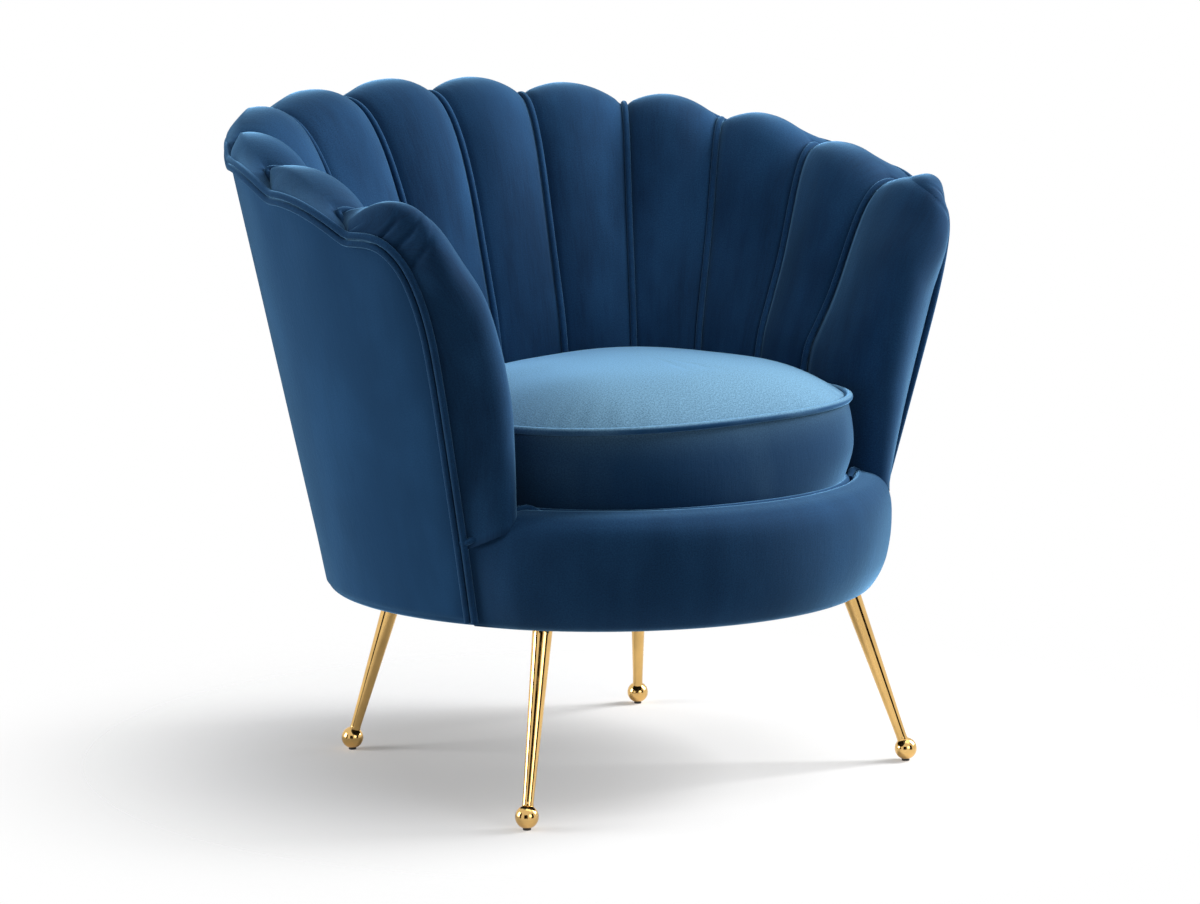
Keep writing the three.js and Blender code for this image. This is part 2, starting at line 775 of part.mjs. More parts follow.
function ovalRing(oval, inset, height, scaleShare = 1) {
  return Array.from({ length: ovalSteps }, (_, i) => {
    const turn = (2 * Math.PI * i) / ovalSteps;
    const across = Math.cos(turn);
    const along = Math.sin(turn);
    const reach = (along < 0 ? oval.front - oval.middle : oval.back + oval.middle) - inset;
    const x = (oval.halfWidth - inset) * Math.sign(across) * Math.abs(across) ** (2 / ovalPower);
    const y = reach * Math.sign(along) * Math.abs(along) ** (2 / ovalPower);
    return new THREE.Vector3(x * scaleShare, y * scaleShare - oval.middle, height);
  });
}

function seatDeckPad() {
  const { bottom, top, edgeRadius, middle } = deckPad;
  const rings = [
    ovalRing(deckPad, edgeRadius, bottom),
    ovalRing(deckPad, 0, bottom + edgeRadius),
    ovalRing(deckPad, 0, top - edgeRadius),
    ovalRing(deckPad, edgeRadius, top),
  ];
  return ringBody(rings, new THREE.Vector3(0, -middle, bottom), new THREE.Vector3(0, -middle, top));
}

function seatCushion() {
  const sideRings = cushionSideHeightShares.map((share, i) => {
    const offset = cushionWelt.reach * cushionSideOffsetShares[i];
    const height = THREE.MathUtils.lerp(cushionWelt.bottomHeight, cushionWeltHeight, share) + offset;
    return ovalRing(cushion, cushion.seamTuck * cushionSideTuckShares[i], height);
  });
  const crownRings = cushionCrownShares.map((share) => {
    const height = cushionWeltHeight + cushion.crown * (1 - share ** cushionCrownPower);
    return ovalRing(cushion, cushion.seamTuck, height, share);
  });
  const rings = [ovalRing(cushion, cushion.bottomTuck, cushion.bottom), ...sideRings, ...crownRings];
  const bottom = new THREE.Vector3(0, -cushion.middle, cushion.bottom);
  const top = new THREE.Vector3(0, -cushion.middle, cushionWeltHeight + cushion.crown);
  return ringBody(rings, bottom, top);
}

function cushionWeltCord(height) {
  const points = ovalRing(cushion, cushionWelt.inset, height);
  const outwards = points.map((point) => new THREE.Vector3(point.x, point.y + cushion.middle, 0).normalize());
  return cord(points, outwards, cushionWelt.radius, true);
}

// Legs

function legAxis({ ballX, ballY, topX, topY }, side) {
  const start = new THREE.Vector3(ballX * side, ballY, ball.centreHeight);
  const end = new THREE.Vector3(topX * side, topY, baseHeight);
  return { start, direction: end.sub(start).normalize() };
}

function legBar({ start, direction }) {
  const cut = board.bottom - gap;
  const length = (cut - start.z) / direction.z;
  return bar(start, direction, [
    { distance: ball.radius - leg.socketDepth, radius: leg.bottomRadius },
    { distance: length, radius: leg.topRadius, level: cut },
    { distance: length, radius: leg.studRadius, level: cut },
    { distance: length + leg.studLength, radius: leg.studRadius },
  ], legSides);
}

function studHole({ start, direction }) {
  const length = (board.bottom - start.z) / direction.z;
  const radius = leg.studRadius + leg.studGap;
  return toSolid(bar(start, direction, [
    { distance: length - overrun, radius },
    { distance: length + leg.studLength + leg.studGap, radius },
  ], legSides));
}

function ballFoot({ start, direction }) {
  const sphere = new THREE.SphereGeometry(ball.radius, legSides, legSides / 2).rotateX(Math.PI / 2);
  const solid = toSolid(sphere.translate(start.x, start.y, start.z));
  const radius = leg.bottomRadius + gap;
  const socket = toSolid(bar(start, direction, [
    { distance: ball.radius - leg.socketDepth - gap, radius },
    { distance: ball.radius + overrun, radius },
  ], legSides));
  return toGeometry(solid.subtract(socket).trimByPlane([0, 0, 1], ball.flatHeight));
}

function axisPoint({ start, direction }, height) {
  return start.clone().addScaledVector(direction, (height - start.z) / direction.z);
}

function cornerBlock(axis) {
  const centre = axisPoint(axis, block.centreHeight);
  const bottom = boardTop + gap;
  const cube = toSolid(box(block.width, block.width, block.height, centre.x, centre.y, bottom));
  const round = toSolid(disc(borderPanel.outerRadius - panelThickness - gap, backHeight, 0));
  const well = toSolid(disc(wellRadius + padDepth, backHeight, 0, 0, -wellSetback));
  return toGeometry(cube.intersect(round).intersect(well).subtract(studHole(axis)));
}

function baseBoard(axes) {
  let solid = toSolid(disc(board.radius, board.thickness, board.bottom));
  for (const axis of axes) solid = solid.subtract(studHole(axis));
  return toGeometry(solid);
}

function dustCoverSheet(axes) {
  let solid = toSolid(disc(dustCover.radius, dustCover.thickness, dustCover.bottom));
  for (const axis of axes) {
    const { x, y } = axisPoint(axis, dustCover.bottom);
    const hole = disc(dustCover.holeRadius, overrun, dustCover.bottom - overrun / 2, x, y, legSides);
    solid = solid.subtract(toSolid(hole));
  }
  return toGeometry(solid);
}

// Assembly

for (const [name, side] of Object.entries(sides)) {
  for (let low = 0; low < channelsPerSide; low++) {
    addMesh(`channel_${name}_${low + 1}`, backChannel(low, side), velvet);
  }
  addMesh(`channel_${name}_${channelsPerSide + 1}`, frontChannel(side), velvet);
  addMesh(`inner_panel_${name}`, innerPanel(side), plywood);
  addMesh(`outer_panel_${name}`, outerPanel(side), plywood);
  addMesh(`arm_post_${name}`, armPostBar(side), beech);
}
addMesh('outer_cover', outerCover(), velvet);
addMesh('edge_welt_upper', edgeWeltCord(edgeWelt.spread), velvet);
addMesh('edge_welt_lower', edgeWeltCord(-edgeWelt.spread), velvet);
addMesh('front_border', frontBorder(), velvet);
addMesh('border_panel', borderBacking(), plywood);

const space = cavity();
const ribs = { rib_back: [0, 1], rib_rear_left: [2, -1], rib_rear_right: [2, 1], rib_side_left: [4, -1], rib_side_right: [4, 1] };
for (const [name, [place, side]] of Object.entries(ribs)) {
  addMesh(name, ribPlate(place, side, space), plywood);
}
addMesh('top_rail', toGeometry(topRailSolid(0, 0)), plywood);

const endRailTop = seatRail.sideTop + gap + strap.thickness;
const railBottom = boardTop + gap;
const blockReach = block.width / 2 + gap;
const legPlaces = Object.fromEntries(Object.entries(legPlaceShares).map(([end, shares]) => (
  [end, Object.fromEntries(Object.entries(shares).map(([name, share]) => [name, baseRadius * share]))]
)));
const blockCentres = Object.fromEntries(Object.entries(legPlaces).map(([end, place]) => (
  [end, axisPoint(legAxis(place, sides.right), block.centreHeight)]
)));
const sideRailX = wellRadius - seatRail.wellInset;
const sideRailFront = blockCentres.front.y + blockReach;
const sideRailBack = blockCentres.back.y - blockReach;
for (const [name, side] of Object.entries(sides)) {
  const rail = box(
    seatRail.thickness,
    sideRailBack - sideRailFront,
    seatRail.sideTop - railBottom,
    sideRailX * side,
    (sideRailBack + sideRailFront) / 2,
    railBottom,
  );
  addMesh(`seat_rail_${name}`, rail, beech);
}
for (const [end, { x, y }] of Object.entries(blockCentres)) {
  const rail = box(2 * (x - blockReach), seatRail.endThickness, endRailTop - railBottom, 0, y, railBottom);
  addMesh(`seat_rail_${end}`, rail, beech);
}
for (const [name, share] of Object.entries(crossStrapShares)) {
  const y = THREE.MathUtils.lerp(blockCentres.front.y, blockCentres.back.y, share);
  const band = box(2 * sideRailX + seatRail.thickness, strap.width, strap.thickness, 0, y, seatRail.sideTop + gap);
  addMesh(`webbing_strap_${name}`, band, webbing);
}
const lengthBand = box(
  strap.width,
  blockCentres.back.y - blockCentres.front.y,
  strap.thickness,
  0,
  (blockCentres.back.y + blockCentres.front.y) / 2,
  endRailTop + gap,
);
addMesh('webbing_strap_lengthwise', lengthBand, webbing);
addMesh('seat_deck_pad', seatDeckPad(), foam);

addMesh('seat_cushion', seatCushion(), seatVelvet, seatGroup);
addMesh('cushion_welt_top', cushionWeltCord(cushionWeltHeight), seatVelvet, seatGroup);
addMesh('cushion_welt_bottom', cushionWeltCord(cushionWelt.bottomHeight), velvet, seatGroup);

const axes = [];
for (const [end, place] of Object.entries(legPlaces)) {
  for (const [name, side] of Object.entries(sides)) {
    const axis = legAxis(place, side);
    axes.push(axis);
    addMesh(`leg_${end}_${name}`, legBar(axis), brass);
    addMesh(`ball_foot_${end}_${name}`, ballFoot(axis), brass);
    addMesh(`foot_glide_${end}_${name}`, disc(glide.radius, glide.height, 0, axis.start.x, axis.start.y, legSides), nylon);
    addMesh(`corner_block_${end}_${name}`, cornerBlock(axis), beech);
  }
}
addMesh('base_board', baseBoard(axes), plywood);
addMesh('dust_cover', dustCoverSheet(axes), lining);

const extent = new THREE.Box3().setFromObject(chair);
chair.position.y = -(extent.min.y + extent.max.y) / 2;

export default chair;
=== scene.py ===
import math

import bmesh
import bpy
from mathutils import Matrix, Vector, noise


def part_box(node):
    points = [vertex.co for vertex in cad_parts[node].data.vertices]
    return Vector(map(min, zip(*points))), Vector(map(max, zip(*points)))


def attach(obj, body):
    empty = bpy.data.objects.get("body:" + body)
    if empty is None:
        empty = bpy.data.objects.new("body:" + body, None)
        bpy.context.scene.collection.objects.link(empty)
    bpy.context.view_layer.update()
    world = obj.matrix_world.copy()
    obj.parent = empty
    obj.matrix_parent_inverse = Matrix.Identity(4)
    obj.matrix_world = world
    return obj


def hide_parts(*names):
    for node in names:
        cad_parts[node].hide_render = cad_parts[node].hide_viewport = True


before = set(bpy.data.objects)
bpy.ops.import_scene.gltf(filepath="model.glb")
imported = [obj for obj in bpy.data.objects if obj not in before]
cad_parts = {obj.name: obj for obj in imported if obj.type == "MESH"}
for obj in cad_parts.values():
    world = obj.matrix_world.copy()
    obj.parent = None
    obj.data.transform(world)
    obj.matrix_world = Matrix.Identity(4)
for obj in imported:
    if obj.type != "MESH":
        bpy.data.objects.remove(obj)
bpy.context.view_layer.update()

bl_info = {
    "name": "Scallop back chair",
    "version": (1, 0, 0),
    "blender": (4, 5, 0),
    "location": "3D View > Sidebar > Scallop chair",
    "description": "Dresses a scallop back tub chair with velvet, welts, padding and brass legs",
    "category": "Add Mesh",
}

BASE_LOW, BASE_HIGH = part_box("base_board")
BASE_Y = (BASE_LOW.y + BASE_HIGH.y) / 2

# Metres in a millimetre, and millimetres in a metre
MM = 0.001
METRE = 1000

# Sizes of the tub, in millimetres from the middle of its round base
BASE_RADIUS = 305
BASE_BOTTOM = 203
JUNCTION_HEIGHT = 296
CUSHION_WELT_HEIGHT = 416
SEAT_TILT = 0.02
WELL_RADIUS = 247
WELL_SETBACK = 58
WELL_RAKE_HEIGHT = 447
PAD_BOTTOM = 300
BACK_HEIGHT = 741
ARM_HEIGHT = 642
BACK_FLARE = 0.155
FRONT_FLARE = 0.267
RIM_DEPTH = 336
RIM_HALF_WIDTH = 388
RIM_SETBACK = 3
RIM_POWER = 2.4
ROLL_WIDTH = 106
ROLL_HEIGHT = 145
WELT_DROP = 24
SCALLOP_RISE = 10
PAD_DEPTH = 30
RIM_PAD_DEPTH = 28
NOSE_PAD_DEPTH = 24
SKIN_DEPTH = 10.2

# Course of a seam line: the round of its corner, its crest and its way down to the welt
CORNER_RUNS = (0.3, 0.7)
CREST_RISE = 9
CREST_REACH_SHARE = 0.45
CREST_FALL_SHARE = 0.26
WELT_LEAD = 7
WELT_LEAD_SHARE = 0.48
TURN_START = 1.98
TURN_LEAN = 12
RUN_STEP = 0.02

# Seams between the channels, in degrees from the middle of the back
SEAT_ANGLES = (0, 20, 39, 56.5, 74.5, 92)
RIM_ANGLES = (0, 21.5, 42, 60, 79.5, 100)
EDGE_ANGLES = (0, 23, 45.5, 67, 87.5, 104.4)
ARRIS_ANGLE = 117.5
FLARE_ANGLE = 119.7
SEAMS = len(SEAT_ANGLES) - 1

# Front edge of the arm and the nose that its padding is drawn round
ARM_STEPS = (0, 0.12, 0.24, 0.37, 0.48, 0.58, 0.68, 0.76, 0.85, 1)
ARM_HEIGHTS = (0, 0.18, 0.35, 0.55, 0.7, 0.82, 0.92, 0.98, 1, 1)
ARM_ANGLES = (117.5, 117.4, 117.3, 117.1, 116.7, 115.7, 113.9, 111.3, 108.2, 104.4)
NOSE = (
    (243, 238, 338), (245, 240, 440), (258, 236, 540),
    (300, 211, 610), (345, 176, 646), (399, 106, 630),
)
NOSE_SHARE = 0.56
NOSE_TUCK = 13
NOSE_OVERHANG = 8
SHOULDER_RISE = 20
SHOULDER_OVERHANG = 28

SIDES = {"left": -1, "right": 1}


def clamp(value, low=0.0, high=1.0):
    return max(low, min(high, value))


def lerp(a, b, share):
    return a + (b - a) * share


def smooth(share):
    share = clamp(share)
    return share * share * (3 - 2 * share)


def ramp(value, start, end):
    """0 at the start and 1 at the end, with a soft course between them."""
    return smooth((value - start) / (end - start))


def between(values, place):
    low = min(int(place), len(values) - 2)
    return lerp(values[low], values[low + 1], place - low)


def monotone(shares, values, share):
    """A smooth curve through a table, so that a sewn edge has no corners."""
    i = 0
    while i < len(shares) - 2 and share > shares[i + 1]:
        i += 1
    def slope(k):
        low, high = max(k - 1, 0), min(k + 1, len(values) - 1)
        return (values[high] - values[low]) / (shares[high] - shares[low])
    width = shares[i + 1] - shares[i]
    t = (share - shares[i]) / width
    a, b = values[i], values[i + 1]
    m, n = slope(i) * width, slope(i + 1) * width
    return a + m * t + (3 * (b - a) - 2 * m - n) * t * t + (2 * (a - b) + m + n) * t ** 3


def bezier(a, b, c, d, t):
    s = 1 - t
    return a * (s * s * s) + b * (3 * s * s * t) + c * (3 * s * t * t) + d * (t * t * t)


def polar(radius, angle, height):
    turn = math.radians(angle)
    return Vector((radius * math.sin(turn), radius * math.cos(turn), height))


# Shape of the tub. A place counts seams from the middle of the back to the arm.

def shell_radius(angle, height):
    turn = min(abs(angle), FLARE_ANGLE) / FLARE_ANGLE
    flare = lerp(BACK_FLARE, FRONT_FLARE, (1 - math.cos(math.pi * turn)) / 2)
    return BASE_RADIUS + flare * (height - BASE_BOTTOM)


def shell_point(angle, height, inset=0.0):
    return polar(shell_radius(angle, height) - inset, angle, height)


def rim_height(place):
    share = between(RIM_ANGLES, place) / RIM_ANGLES[SEAMS]
    return lerp(BACK_HEIGHT, ARM_HEIGHT, share * share)


def rim_point(place):
    angle = math.radians(between(RIM_ANGLES, place))
    across = abs(math.sin(angle)) / RIM_HALF_WIDTH
    along = abs(math.cos(angle)) / RIM_DEPTH
    radius = (across ** RIM_POWER + along ** RIM_POWER) ** (-1 / RIM_POWER)
    return Vector((radius * math.sin(angle), radius * math.cos(angle) + RIM_SETBACK, rim_height(place)))


def edge_height(place, low):
    across = 2 * (place - low) - 1
    return rim_height(place) - WELT_DROP + SCALLOP_RISE * (1 - across * across)


class SeamLine:
    """The line of the padding over one place: up the inside, over the rim, down to the outer welt."""

    def __init__(self, place, low):
        self.seat = polar(WELL_RADIUS, between(SEAT_ANGLES, place), WELL_RAKE_HEIGHT)
        self.seat.y -= WELL_SETBACK
        self.foot = self.seat.copy()
        self.foot.z = PAD_BOTTOM
        self.rim = rim_point(place)
        self.outward = self.rim - self.seat
        self.outward.z = 0
        self.outward.normalize()
        self.roll = self.rim - self.outward * ROLL_WIDTH
        self.roll.z = self.rim.z - ROLL_HEIGHT
        self.welt = shell_point(between(EDGE_ANGLES, place), edge_height(place, low))
        rise = (self.roll - self.seat).normalized()
        crest = self.rim - self.outward * ROLL_WIDTH * 0.5
        crest.z += CREST_RISE
        self.inner = (self.roll, self.roll + rise * ROLL_HEIGHT * 0.5, crest, self.rim)
        level = self.welt - self.rim
        level.z = 0
        end = self.welt + level.normalized() * WELT_LEAD
        end.z += WELT_DROP * WELT_LEAD_SHARE
        over = self.rim + level * CREST_REACH_SHARE
        over.z -= level.length * CREST_FALL_SHARE
        self.outer = (self.rim, over, end, self.welt)

    def point(self, run):
        """run is 0 at the bottom, 1 at the start of the roll, 2 at the rim and 3 at the welt."""
        start, end = CORNER_RUNS
        if start < run < end:
            share = (run - start) / (end - start)
            below, above = self.foot.lerp(self.seat, start * 2), self.seat.lerp(self.roll, end * 2 - 1)
            return below.lerp(self.seat, share).lerp(self.seat.lerp(above, share), share)
        if run <= 0.5:
            return self.foot.lerp(self.seat, run * 2)
        if run <= 1:
            return self.seat.lerp(self.roll, run * 2 - 1)
        if run <= 2:
            return bezier(*self.inner, run - 1)
        return bezier(*self.outer, run - 2)

    def proud(self, run):
        """The direction in which the padding stands out of the seam."""
        along = self.point(min(run + RUN_STEP, 3)) - self.point(max(run - RUN_STEP, 0))
        side = Vector((self.outward.y, -self.outward.x, 0))
        return side.cross(along).normalized()

    def swell(self, run):
        """The direction of the padding's crown, which turns evenly outwards past the rim."""
        if run < TURN_START:
            return self.proud(run)
        turn = math.radians(lerp(TURN_LEAN, 90, (run - TURN_START) / (3 - TURN_START)))
        return self.outward * math.sin(turn) + Vector((0, 0, math.cos(turn)))

    def back(self, run):
        """The hidden back of the padding, with the same runs."""
        if run <= 1:
            return self.point(run) + self.outward * PAD_DEPTH
        shoulder = self.roll + self.outward * PAD_DEPTH
        under = self.rim.copy()
        under.z -= RIM_PAD_DEPTH
        if run <= 2:
            return shoulder.lerp(under, run - 1)
        radius = math.hypot(self.welt.x, self.welt.y)
        scale = (radius - SKIN_DEPTH) / radius
        inside = Vector((self.welt.x * scale, self.welt.y * scale, self.welt.z))
        return under.lerp(inside, run - 2)


def arm_edge(share):
    """Angle and height of the arm's edge: 0 at the border, 1 at the last seam's outer end."""
    rise = clamp(monotone(ARM_STEPS, ARM_HEIGHTS, share))
    return monotone(ARM_STEPS, ARM_ANGLES, share), lerp(JUNCTION_HEIGHT, ARM_HEIGHT - WELT_DROP, rise)


def arm_edge_point(share, inset=0.0):
    return shell_point(*arm_edge(share), inset)


def nose_point(run):
    """A Catmull-Rom curve up the arm's nose."""
    points = [Vector((x, -y, z)) for x, y, z in NOSE]
    points = [2 * points[0] - points[1]] + points + [2 * points[-1] - points[-2]]
    place = clamp(run / 3) * (len(NOSE) - 1)
    i = min(int(place), len(NOSE) - 2)
    t = place - i
    a, b, c, d = points[i:i + 4]
    return (2 * b + (c - a) * t + (2 * a - 5 * b + 4 * c - d) * t * t + (3 * b - a - 3 * c + d) * t ** 3) / 2


def front_pad_point(line, run, share):
    """The padding of the arm's front: share is 0 at the last seam and 1 at the welt."""
    seam, nose = line.point(run), nose_point(run)
    start = seam.lerp(nose, NOSE_SHARE) - line.outward * NOSE_TUCK * (1 - run / 3)
    start.z += SHOULDER_RISE * ramp(run, 1.5, 2) * ramp(run, 2.9, 2.4)
    overhang = NOSE_OVERHANG + SHOULDER_OVERHANG * ramp(run, 1.35, 1.75) * ramp(run, 2.3, 1.8)
    end = nose + polar(overhang, arm_edge(run / 3)[0], 0)
    return bezier(seam, start, end, arm_edge_point(run / 3), share)


def front_pad_back(line, run, share):
    seam = line.back(run)
    welt = arm_edge_point(run / 3, SKIN_DEPTH)
    core = seam.lerp(welt, 0.5)
    face = front_pad_point(line, run, share)
    middle = face.lerp(core, min(NOSE_PAD_DEPTH / max((face - core).length, 1), 0.8))
    if share < 0.5:
        return seam.lerp(middle, share * 2)
    return middle.lerp(welt, share * 2 - 1)


# Mesh helpers

# Angles from which an edge between two faces stays sharp, in degrees
PADDED_SHARP = 60
COVER_SHARP = 50
CUSHION_SHARP = 70
METAL_SHARP = 35


def to_frame(point, side=1):
    """A point of the tub, in millimetres, as a place in the frame, in metres."""
    return Vector((point.x * side, point.y, point.z)) * MM + Vector((0, BASE_Y, 0))


def link(name, data):
    made = bpy.data.objects.new(name, data)
    bpy.context.scene.collection.objects.link(made)
    return made


def mend(mesh, merge=0.0):
    """Merges points closer than merge, in metres, and turns all faces outwards."""
    made = bmesh.new()
    made.from_mesh(mesh)
    if merge:
        bmesh.ops.remove_doubles(made, verts=made.verts, dist=merge)
    bmesh.ops.recalc_face_normals(made, faces=made.faces)
    made.to_mesh(mesh)
    made.free()


def make_piece(name, points, faces, material, uvs, sharp, seam_shade_and_smudges=None):
    mesh = bpy.data.meshes.new(name)
    mesh.from_pydata([tuple(p) for p in points], [], faces)
    if uvs is not None:
        layer = mesh.uv_layers.new(name="UVMap")
        for loop in mesh.loops:
            layer.data[loop.index].uv = uvs[loop.vertex_index]
    # painted shade: the seam_shade attribute holds how far the velvet is darkened in its seams, standing in
    # for the shade there
    if seam_shade_and_smudges is not None:
        layer = mesh.attributes.new("seam_shade", "FLOAT", "POINT")
        layer.data.foreach_set("value", seam_shade_and_smudges)
    mend(mesh)
    mesh.shade_smooth()
    mesh.set_sharp_from_angle(angle=math.radians(sharp))
    mesh.materials.append(material)
    return link(name, mesh)


def flat(rows):
    return [point for row in rows for point in row]


def loft(sections, closed=False):
    """Faces between closed sections of equal length; open ends are capped front half to back half."""
    count = len(sections[0])
    faces = []
    for i in range(len(sections) - (0 if closed else 1)):
        here, there = i * count, ((i + 1) % len(sections)) * count
        for j in range(count):
            k = (j + 1) % count
            faces.append((here + j, here + k, there + k, there + j))
    if not closed:
        for start in (0, (len(sections) - 1) * count):
            for j in range(count // 2 - 1):
                faces.append((start + j, start + j + 1, start + count - 2 - j, start + count - 1 - j))
    return faces


def spread(start, end, count, ends=0.0):
    """Evenly spaced steps, or with ends drawn closer together at both ends of a span."""
    steps = []
    for i in range(count + 1):
        t = i / count
        eased = (1 - math.cos(math.pi * t)) / 2
        steps.append(lerp(start, end, lerp(t, eased, ends)))
    return steps


def run_steps(counts, end=3):
    """Runs with so many steps along the foot, the rake, the roll and the outside."""
    limits = (0, 0.5, 1, 2, end)
    spans = zip(limits, limits[1:], counts)
    return flat(spread(low, high, count)[:-1] for low, high, count in spans) + [end]


def uneven(point, size, seed):
    """Slow unevenness of stuffed fabric, from -1 to 1."""
    return noise.noise(point / size + Vector((seed, seed * 0.37, -seed)))


# Sizes and colours

def metres(name, description, default, soft_max, low=0.0):
    return bpy.props.FloatProperty(
        name=name, description=description, default=default, min=low, soft_max=soft_max, unit="LENGTH")


def tint(name, description, default):
    return bpy.props.FloatVectorProperty(
        name=name, description=description, default=default, subtype="COLOR", size=3, min=0, max=1)


def watts(name, description, default):
    return bpy.props.FloatProperty(
        name=name, description=description, default=default, min=0.0, unit="POWER")


def portion(name, description, default):
    return bpy.props.FloatProperty(
        name=name, description=description, default=default, min=0.0, max=1.0, subtype="FACTOR")


class ChairSizes(bpy.types.PropertyGroup):
    crown_top: metres("Channel crown at the rim", "How far it stands out at the rim", 0.021, 0.03)
    crown_seat: metres("Channel crown at the seat", "How far it stands out at the seat", 0.0075, 0.02)
    seam_depth: metres("Seam depth", "How deep the fabric is drawn in at a seam", 0.003, 0.01)
    seam_welt: metres("Seam welt radius", "Radius of the cord in the channels' seams", 0.0037, 0.008, 0.001)
    edge_welt: metres("Edge welt radius", "Radius of each cord of the double welt", 0.0038, 0.008, 0.001)
    edge_spread: metres(
        "Edge welt spread", "Half the distance between the two edge cords", 0.0041, 0.01, 0.001)
    cushion_crown: metres("Cushion crown", "Height of the middle above the top seam", 0.051, 0.06)
    cushion_welt: metres("Cushion welt radius", "Radius of the cushion's piping", 0.0042, 0.008, 0.001)
    pleats: metres("Pleat depth", "Depth of the small pleats of the arm's front", 0.0028, 0.006)


class ChairColours(bpy.types.PropertyGroup):
    velvet: tint("Velvet", "Colour where its pile stands up", (0.009, 0.048, 0.124))
    # The dark colour of the nap's streaks and grain, and also the painted shade mixed into the seams
    velvet_dark_and_painted_seam_shade: tint("Velvet, dark", "Colour where its pile leans away", (0.004, 0.017, 0.05))
    # The light colour of the nap's blotches, and also the painted top light mixed in where the velvet faces
    # up
    velvet_blotch_and_painted_top_light: tint("Velvet, light", "Colour where its pile is brushed up", (0.026, 0.112, 0.27))
    # Painted light: the seat top colour is far lighter than the velvet, standing in for the sheen and the
    # light from above on the cushion's top
    seat: tint("Seat top", "Colour of the brushed top of the seat cushion", (0.23, 0.46, 0.66))
    brass: tint("Brass", "Colour of the polished legs", (0.79, 0.5, 0.18))
    plywood: tint("Plywood", "Colour of the plywood panels", (0.5, 0.34, 0.19))
    beech: tint("Hardwood", "Colour of the rails, posts and blocks", (0.57, 0.37, 0.19))
    webbing: tint("Webbing", "Colour of the seat webbing", (0.03, 0.03, 0.032))
    lining: tint("Lining", "Colour of the dust cover and the deck cloth", (0.012, 0.014, 0.02))


class StageSettings(bpy.types.PropertyGroup):
    floor: tint("Floor", "Colour of the floor", (0.9, 0.9, 0.9))
    top_light: watts("Top light", "Strength of the large lamp above the chair", 20.0)
    right_light: watts("Right light", "Strength of the soft lamp on the right of the view", 122.0)
    left_light: watts("Left light", "Strength of the soft lamp on the left of the view", 38.0)
    front_light: watts("Front light", "Strength of the weak lamp in front of the chair", 17.0)
    ambient: portion("Ambient light", "Strength of the even light all round", 0.16)
    floor_white: portion("Floor white", "How much of the floor is plain white to the camera", 0.15)


# Shader groups shared by the materials

def new_group(name, inputs, outputs=("Color", "Height")):
    """A shader group fed by a vector. Its colours are given as tuples, its other inputs as numbers."""
    group = bpy.data.node_groups.new(name, "ShaderNodeTree")
    group.interface.new_socket("Vector", in_out="INPUT", socket_type="NodeSocketVector")
    for label, value in inputs.items():
        kind = "NodeSocketColor" if isinstance(value, tuple) else "NodeSocketFloat"
        group.interface.new_socket(label, in_out="INPUT", socket_type=kind).default_value = value
    for label in outputs:
        kind = "NodeSocketColor" if label == "Color" else "NodeSocketFloat"
        group.interface.new_socket(label, in_out="OUTPUT", socket_type=kind)
    return group, group.nodes.new("NodeGroupInput").outputs, group.nodes.new("NodeGroupOutput")


def node(tree, kind, inputs=None, **values):
    made = tree.nodes.new(kind)
    for key, value in values.items():
        setattr(made, key, value)
    for key, value in (inputs or {}).items():
        if isinstance(value, bpy.types.NodeSocket):
            tree.links.new(value, made.inputs[key])
        else:
            made.inputs[key].default_value = value
    return made


def math_node(tree, operation, a, b=0.0, clamped=False):
    return node(tree, "ShaderNodeMath", {0: a, 1: b}, operation=operation, use_clamp=clamped).outputs[0]


def times(tree, a, b):
    return math_node(tree, "MULTIPLY", a, b)


def ramp_between(tree, value, low, high):
    made = node(tree, "ShaderNodeMapRange", {"Value": value, "From Min": low, "From Max": high})
    made.interpolation_type = "SMOOTHSTEP"
    return made.outputs["Result"]


def mix_colour(tree, share, a, b):
    made = node(tree, "ShaderNodeMix", data_type="RGBA")
    for key, value in (("Factor_Float", share), ("A_Color", a), ("B_Color", b)):
        socket = next(s for s in made.inputs if s.identifier == key)
        if isinstance(value, bpy.types.NodeSocket):
            tree.links.new(value, socket)
        else:
            socket.default_value = value
    return next(s for s in made.outputs if s.identifier == "Result_Color")


def noise_value(tree, vector, scale, detail, roughness):
    made = node(tree, "ShaderNodeTexNoise", {
        "Vector": vector, "Scale": scale, "Detail": detail, "Roughness": roughness})
    return made.outputs["Fac"]


def stretched_noise(tree, vector, scale, detail, roughness):
    place = node(tree, "ShaderNodeMapping", {"Vector": vector, "Scale": scale}).outputs["Vector"]
    return noise_value(tree, place, 1.0, detail, roughness)


def close_group(group, outlet, colour, height):
    group.links.new(colour, outlet.inputs[0])
    group.links.new(height, outlet.inputs["Height"])
    return group


